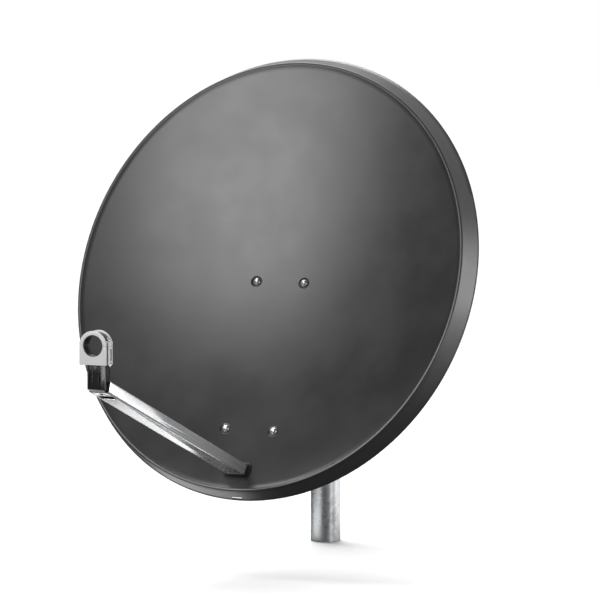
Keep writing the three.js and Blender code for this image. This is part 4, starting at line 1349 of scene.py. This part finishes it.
@dataclass
class Mount:
    """The rear frame, the bracket with its jaws, and the mast."""

    bowl: Bowl
    arm: FeedArm
    plate: float = 0.003
    standoff: float = 0.018
    frame_half: float = 0.066
    overhang: float = 0.022
    foot_base: float = 0.017
    foot_top: float = 0.0105
    foot_front: float = -0.0028
    foot_inside: float = -0.0062
    gusset_inner: float = 0.0206
    pivot: tuple[float, float] = (-0.120, 0.500)
    lock_radius: float = 0.085
    tilt_forward: float = radians(28)
    tilt_back: float = radians(17)
    cheek_inner: float = 0.0241
    web_back: float = -0.041
    web_half: float = 0.058
    web_z: tuple[float, float] = (0.405, 0.525)
    jaw_z: tuple[float, float] = (0.420, 0.510)
    jaw_bolt_x: float = 0.047
    jaw_bolt_z: tuple[float, float] = (0.435, 0.495)
    jaw_mouth: float = 0.0345
    jaw_thick: float = 0.0045
    mast_radius: float = 0.030
    mast_wall: float = 0.0025
    mast_height: float = 0.545

    @property
    def cheek_outer(self) -> float:
        """Outer face of the bracket's cheeks."""
        return self.cheek_inner + self.plate

    @property
    def lock(self) -> Point2:
        """The lock bolt's place at rest, as (y, z)."""
        return self.pivot[0], self.pivot[1] - self.lock_radius

    @property
    def jaw_apex(self) -> float:
        """Distance from the mast's axis to the bottom of a jaw's V."""
        return (self.mast_radius + AIR) / cos(radians(30))

    @property
    def jaw_edge(self) -> float:
        """Distance from the mast's axis to the end of a jaw's V."""
        return self.jaw_apex - self.jaw_mouth * tan(radians(30))

    @property
    def rear_nut_y(self) -> float:
        """Where the nuts behind the rear jaw are seated."""
        return self.jaw_edge + self.jaw_thick + AIR

    def jaw_bolt_places(self) -> list[Point2]:
        """The four jaw bolts as (x, z)."""
        return [(side * self.jaw_bolt_x, z) for z in self.jaw_bolt_z for side in (-1, 1)]

    def across(self, point: Point2, half: float, radius: float) -> bpy.types.Object:
        """A round bar across the object through a point (y, z)."""
        return bar(Vector((-half, *point)), Vector((half, *point)), radius, 40)

    def on_chord(self, along: float, front: float) -> Point2:
        """A point (y, z) on the rear frame's own axes."""
        point = self.bowl.chord @ Vector((0, along, front))
        return point.y, point.z

    def gusset_outline(self) -> list[Point2]:
        """A gusset's outline in (y, z): round at the pivot and the lock, open at the arm's tail."""
        line = -self.standoff - self.plate / 2
        reach = self.bowl.chord_half + self.overhang

        def on_arm(along: float, up: float) -> Point2:
            point = self.arm.at(along, up)
            return point.y, point.z

        tail = -self.arm.tail + 0.002
        return [
            self.on_chord(reach, line),
            *arc(*self.pivot, 0.018, radians(75), radians(-10), 16),
            *arc(*self.lock, 0.015, 0, radians(-70), 12),
            on_arm(tail, self.arm.height + 0.007), on_arm(tail, -0.006),
            on_arm(-0.020, -0.006), on_arm(-0.020, self.arm.height + 0.004),
            self.on_chord(-reach, line),
        ]

    def foot(self, bolt: Vector) -> bpy.types.Object:
        """A pressed foot of the rear frame, hollow behind, with its bolt hole."""
        base, top, plate = self.foot_base, self.foot_top, self.plate
        profile = [
            (0.0045, self.foot_front), (top - 0.001, self.foot_front), (top, self.foot_front - 0.0008),
            (base - 0.0008, -self.standoff + 0.0012), (base + 0.001, -self.standoff),
            (base + 0.001, -self.standoff - plate), (base - 0.0022, -self.standoff - plate),
            (base - 0.0034, -self.standoff - plate + 0.0012),
            (top - 0.0010, self.foot_inside - 0.0012), (top - 0.0022, self.foot_inside),
            (0.0045, self.foot_inside),
        ]
        return turned(profile, 48, self.bowl.chord @ Matrix.Translation(bolt))

    def build_rear_frame(self, steel: bpy.types.Material) -> None:
        """The pressed plate with four feet and two gussets."""
        half = self.bowl.chord_half + self.overhang
        back, front = -self.standoff - self.plate, -self.standoff
        chord = self.bowl.chord
        obj = prism(rounded_rectangle(2 * self.frame_half, -half, half, 0.014, 8), back, front, chord)
        tools = [
            turned([(0, back - 0.01), (self.foot_base, back - 0.01), (self.foot_base, front + 0.01),
                    (0, front + 0.01)], 48, chord @ Matrix.Translation(bolt))
            for bolt in self.bowl.bolts()
        ]
        for low in (-0.070, 0.030):
            tools.append(prism(rounded_rectangle(0.030, low, low + 0.060, 0.008), back - 0.009,
                               front + 0.009, chord))
        for side in (-1, 1):
            tools.append(prism(rounded_rectangle(0.011, -0.085, 0.085, 0.0054), back - 0.009,
                               front + 0.009, chord @ Matrix.Translation((side * 0.047, 0, 0))))
        cut(obj, *tools)
        soften(obj, 0.0006, 2, radians(50))
        fuse(obj, *[self.foot(bolt) for bolt in self.bowl.bolts()])
        gussets = []
        for x in (-self.gusset_inner - self.plate, self.gusset_inner):
            gusset = prism(self.gusset_outline(), x, x + self.plate, ALONG_X)
            cut(gusset, self.across((-0.205, 0.430), 0.040, 0.027),
                self.across((-0.265, 0.335), 0.040, 0.022),
                self.across(self.pivot, 0.040, 0.0053), self.across(self.lock, 0.040, 0.0043))
            for along in self.arm.tail_bolts:
                point = self.arm.at(along, self.arm.height / 2)
                cut(gusset, self.across((point.y, point.z), 0.040, 0.0043))
            soften(gusset, 0.0006, 2, radians(50))
            gussets.append(gusset)
        fuse(obj, *gussets)
        smooth(obj)
        dress(obj, "rear_frame", steel)

    def slot_outline(self) -> list[Point2]:
        """The curved slot that the lock bolt travels along, with round ends."""
        half = 0.0047
        start, end = -pi / 2 - self.tilt_back, -pi / 2 + self.tilt_forward
        radius, (y, z) = self.lock_radius, self.pivot
        first = (y + radius * cos(start), z + radius * sin(start))
        last = (y + radius * cos(end), z + radius * sin(end))
        return [
            *arc(y, z, radius + half, start, end, 24), *arc(*last, half, end, end + pi, 10),
            *arc(y, z, radius - half, end, start, 24), *arc(*first, half, start + pi, start + 2 * pi, 10),
        ]

    def cheek(self, x: float) -> bpy.types.Object:
        """One cheek of the bracket, with its pivot hole, slot and scale."""
        y, z = self.pivot
        outline = [
            (self.web_back - 0.001, 0.405), (self.web_back - 0.001, 0.525),
            *arc(y, z, 0.020, pi / 2, pi, 12), (-0.166, 0.436),
            *arc(-0.152, 0.412, 0.014, pi, 1.5 * pi, 10), (-0.062, 0.398),
        ]
        obj = prism(outline, x, x + self.plate, ALONG_X)
        cut(obj, prism(self.slot_outline(), x - 0.01, x + 0.02, ALONG_X),
            self.across(self.pivot, 0.05, 0.0053),
            prism(rounded_rectangle(0.022, 0.440, 0.484, 0.008), x - 0.01, x + 0.02,
                  Matrix.Translation((0, -0.082, 0)) @ ALONG_X))
        soften(obj, 0.0005, 2, radians(50))
        face = x if x < 0 else x + self.plate
        marks = []
        steps = round((self.tilt_forward + self.tilt_back) / radians(5))
        for i in range(steps + 1):
            turn = -pi / 2 - self.tilt_back + i * radians(5)
            reach = 0.0046 if i % 3 == 0 else 0.0028
            inner = self.lock_radius + 0.0066
            wide = 0.0003
            along, side = Vector((cos(turn), sin(turn))), Vector((-sin(turn), cos(turn))) * wide
            a, b = along * inner, along * (inner + reach)
            marks.append(prism([(y + p.x, z + p.y) for p in (a - side, b - side, b + side, a + side)],
                               face - 0.0004, face + 0.0004, ALONG_X))
        return cut(obj, joined(marks))

    def weld(self, x: float) -> bpy.types.Object:
        """A rippled weld bead along the corner between a cheek and the web."""
        low, high = self.web_z[0] + 0.004, self.web_z[1] - 0.004
        count = 46
        pitch = (high - low) / count
        profile = [(0, 0)]
        for i in range(count):
            profile += [(0.0018, (i + 0.15) * pitch), (0.0023, (i + 0.6) * pitch)]
        profile.append((0, count * pitch))
        place = Matrix.Translation((x, self.web_back - self.plate + 0.0002, low))
        return turned(profile, 14, place)

    def build_bracket(self, steel: bpy.types.Material) -> None:
        """The bracket: a web across the mast's front and two cheeks for the dish's frame."""
        low, high = self.web_z
        web = prism(rounded_rectangle(2 * self.web_half, low, high, 0.008, 8),
                    self.web_back - self.plate, self.web_back, ALONG_Y)
        for x, z in self.jaw_bolt_places():
            cut(web, bar(Vector((x, self.web_back - 0.02, z)), Vector((x, self.web_back + 0.02, z)), 0.0045))
        soften(web, 0.0006, 2, radians(50))
        fuse(web, self.cheek(-self.cheek_outer), self.cheek(self.cheek_inner))
        fuse(web, *[self.weld(side * (self.cheek_outer + 0.0004)) for side in (-1, 1)])
        smooth(web)
        dress(web, "mast_bracket", steel)

    def toothed_v(self, side: float) -> list[Point2]:
        """The V that grips the mast, left to right, with teeth cut into its flats."""
        points: list[Point2] = []
        teeth, depth = 12, 0.0011
        lean = radians(30)
        for start, end, away in (
                ((-self.jaw_mouth, self.jaw_edge), (0.0, self.jaw_apex), -1),
                ((0.0, self.jaw_apex), (self.jaw_mouth, self.jaw_edge), 1)):
            nudge = (away * sin(lean) * depth, cos(lean) * depth)
            for i in range(teeth):
                x = start[0] + (end[0] - start[0]) * i / teeth
                y = start[1] + (end[1] - start[1]) * i / teeth
                step_x, step_y = (end[0] - start[0]) / teeth, (end[1] - start[1]) / teeth
                points += [(x, side * y), (x + 0.5 * step_x + nudge[0], side * (y + 0.5 * step_y + nudge[1]))]
        points.append((self.jaw_mouth, side * self.jaw_edge))
        return points

    def build_jaws(self, steel: bpy.types.Material) -> None:
        """The block in front of the mast and the strap behind it."""
        low, high = self.jaw_z
        face = self.web_back + AIR
        block = prism([(-0.040, face), (0.040, face), (0.040, -self.jaw_edge),
                       *reversed(self.toothed_v(-1)), (-0.040, -self.jaw_edge)], low, high)
        for z in (low + 0.015, high - 0.035):
            for side in (-1, 1):
                cut(block, prism(rounded_rectangle(0.018, z, z + 0.020, 0.004), -0.05, -0.004,
                                 Matrix.Translation((side * 0.052, 0, 0)) @ ALONG_Y))
        soften(block, 0.0004, 2, radians(45))
        smooth(block)
        dress(block, "front_jaw", steel)

        wing, edge, thick = 0.058, self.jaw_edge, self.jaw_thick
        strap = prism([
            (-wing, edge), *self.toothed_v(1), (wing, edge), (wing, edge + thick),
            (self.jaw_mouth + 0.0012, edge + thick),
            *arc(0, self.jaw_apex + 1.15 * thick - 0.008 / cos(radians(30)), 0.008, radians(60), radians(120), 8),
            (-self.jaw_mouth - 0.0012, edge + thick), (-wing, edge + thick),
        ], low, high)
        for x, z in self.jaw_bolt_places():
            cut(strap, bar(Vector((x, 0, z)), Vector((x, 0.04, z)), 0.0045))
        soften(strap, 0.0004, 2, radians(45))
        smooth(strap)
        dress(strap, "rear_jaw", steel)

    def build_mast(self, steel: bpy.types.Material, plastic: bpy.types.Material) -> None:
        """The mast's stub and the cap on its top."""
        outer, inner, edge = self.mast_radius, self.mast_radius - self.mast_wall, 0.0004
        tube = turned([
            (inner, edge), (inner + edge, 0), (outer - edge, 0), (outer, edge),
            (outer, self.mast_height - edge), (outer - edge, self.mast_height),
            (inner + edge, self.mast_height), (inner, self.mast_height - edge),
        ], 128)
        dress(smooth(tube), "mast_tube", steel)
        skin, top = self.mast_radius + AIR, self.mast_height + AIR
        outside = skin + 0.0017
        rim = [(outside, top - 0.0145), (outside, top - 0.012), (outside - 0.0004, top - 0.0115),
               (outside - 0.0004, top - 0.0105), (outside, top - 0.010), (outside, top - 0.001)]
        cap = turned([
            (0, top), (skin, top), (skin, top - 0.015), (outside - 0.0005, top - 0.015), *rim,
            *arc(outside - 0.004, top, 0.004, 0, radians(75), 8),
            (0.018, top + 0.0042), (0.0172, top + 0.0038), (0.0165, top + 0.0042), (0, top + 0.0049),
        ], 96)
        dress(smooth(cap, radians(35)), "mast_cap", plastic)


# ---------------------------------------------------------------- studio


@dataclass(frozen=True)
class SoftLight:
    """A square soft light that points at a spot."""

    name: str
    direction: tuple[float, float, float]
    distance: float
    size: float
    power: float

    def build(self, aim: Vector) -> None:
        """Adds the light."""
        away = Vector(self.direction).normalized()
        bpy.ops.object.light_add(type="AREA", location=aim + away * self.distance)
        lamp = bpy.context.object
        lamp.name = self.name
        lamp.rotation_euler = away.to_track_quat("Z", "Y").to_euler()
        lamp.data.size = self.size
        lamp.data.energy = self.power


@dataclass(frozen=True)
class Studio:
    """Pale floor, soft light and the camera."""

    azimuth: float = radians(25.01)
    elevation: float = radians(4.36)
    distance: float = 6.5126
    lens: float = 202.63
    shift: tuple[float, float] = (0.0571, -0.04525)
    floor_radius: float = 40.0
    sky_front: float = 0.10
    sky_back: float = 0.75
    sun_direction: tuple[float, float, float] = (-0.40, 0.40, 0.82)
    sun_strength: float = 3.5
    lights: tuple[SoftLight, ...] = (
        SoftLight("key", (-0.30, -0.87, 0.37), 4.2, 2.2, 122.0),
        SoftLight("side", (0.96, -0.28, 0.02), 4.0, 1.2, 34.0),
        SoftLight("edge", (0.90, 0.42, 0.10), 4.0, 1.6, 40.0),
    )

    def build_camera(self, aim: Vector) -> None:
        """The camera at its viewing angle."""
        back = Vector((sin(self.azimuth) * cos(self.elevation),
                       -cos(self.azimuth) * cos(self.elevation), sin(self.elevation)))
        bpy.ops.object.camera_add(location=aim + back * self.distance)
        camera = bpy.context.object
        camera.rotation_euler = (-back).to_track_quat("-Z", "Y").to_euler()
        camera.data.lens = self.lens
        camera.data.sensor_width = 36.0
        camera.data.shift_x, camera.data.shift_y = self.shift
        camera.data.clip_end = 200.0
        bpy.context.scene.camera = camera

    def build_floor(self) -> None:
        """A wide floor under the mast's end: white to the eye, dark where it would light the skirt."""
        bpy.ops.mesh.primitive_circle_add(vertices=96, radius=self.floor_radius, fill_type="NGON",
                                          location=(0, 0, -0.0005))
        floor = bpy.context.object
        floor.name = "floor"
        material, nodes, shader = new_material("pale_floor", Roughness=0.9, Specular_IOR_Level=0.1)
        apart = nodes.add("ShaderNodeSeparateXYZ", {"Vector": nodes.place()})
        x, y = apart.outputs["X"], apart.outputs["Y"]
        strip = nodes.math("MULTIPLY", nodes.remap(x, -0.55, -0.38), nodes.remap(x, -0.10, 0.0, 1.0, 0.0))
        reach = nodes.math("MULTIPLY", nodes.remap(y, -0.78, -0.55), nodes.remap(y, -0.12, 0.05, 1.0, 0.0))
        under_arm = nodes.math("MULTIPLY", strip, reach)
        behind = nodes.math("MULTIPLY", nodes.remap(y, -0.10, 0.40), nodes.remap(x, -0.50, -0.10))
        lit = nodes.math("MAXIMUM", under_arm, behind)
        seen = nodes.add("ShaderNodeLightPath").outputs["Is Camera Ray"]
        nodes.feed(shader.inputs["Base Color"], nodes.mix(
            nodes.math("MAXIMUM", lit, seen), (0.10, 0.10, 0.10, 1), (0.95, 0.95, 0.95, 1)))
        floor.data.materials.append(material)

    def build_world(self) -> None:
        """White surroundings, dim where they would light the dish's face."""
        world = bpy.data.worlds.new("pale_surroundings")
        bpy.context.scene.world = world
        world.use_nodes = True
        nodes = Nodes(world.node_tree)
        direction = nodes.add("ShaderNodeTexCoord").outputs["Generated"]
        along = nodes.add("ShaderNodeVectorMath", operation="DOT_PRODUCT")
        nodes.feed(along.inputs[0], direction)
        nodes.feed(along.inputs[1], (0.50, 0.86, 0.0))
        light = nodes.remap(along.outputs["Value"], 0.05, 0.95, self.sky_front, self.sky_back)
        seen = nodes.add("ShaderNodeLightPath").outputs["Is Camera Ray"]
        strength = nodes.math("MAXIMUM", light, seen)
        nodes.feed(world.node_tree.nodes["Background"].inputs["Color"], (1.0, 1.0, 1.0, 1))
        nodes.feed(world.node_tree.nodes["Background"].inputs["Strength"], strength)

    def build_sun(self) -> None:
        """A very soft sun from above and behind, which keeps the floor white."""
        bpy.ops.object.light_add(type="SUN", location=(0, 0, 5))
        sun = bpy.context.object
        sun.name = "sun"
        sun.rotation_euler = Vector(self.sun_direction).to_track_quat("Z", "Y").to_euler()
        sun.data.energy = self.sun_strength
        sun.data.angle = radians(50)

    def build(self, aim: Vector) -> None:
        """Everything round the object."""
        deselect()
        self.build_camera(aim)
        self.build_floor()
        self.build_world()
        self.build_sun()
        for light in self.lights:
            light.build(aim)
        bpy.context.scene.view_settings.view_transform = "Standard"


def main() -> None:
    """Builds the pieces in order and reports each one."""
    logging.basicConfig(level=logging.INFO, format="%(name)s %(message)s")
    effects = SharedEffects()
    bowl = Bowl()
    arm = FeedArm()
    clamp = ReceiverClamp(arm)
    mount = Mount(bowl, arm)
    coat = PowderCoat().build(effects)
    zinc = ZincPlate().build(effects)
    steel = Galvanised().build(effects)
    aluminium = DrawnAluminium(-arm.elevation).build(effects)
    # black and satin are mouldings; black also paints shade in the clamp's recesses and throat, satin paints
    # shade inside the arm's bore.
    black, satin, light = (finish.build(effects) for finish in (GLOSS_BLACK, SATIN_BLACK, LIGHT_GREY))

    Studio().build(Vector(bowl.centre))
    Reflector(bowl).build(arm, coat)
    arm.build(aluminium, satin)
    arm.build_collar(bowl, satin)
    clamp.build_body(black)
    clamp.build_base(light, black)
    clamp.build_cap(light, black)
    mount.build_rear_frame(steel)
    mount.build_bracket(steel)
    mount.build_jaws(steel)
    mount.build_mast(steel, satin)
    Hardware(bowl, arm, clamp, mount, zinc).build()


if __name__ == "__main__":
    main()
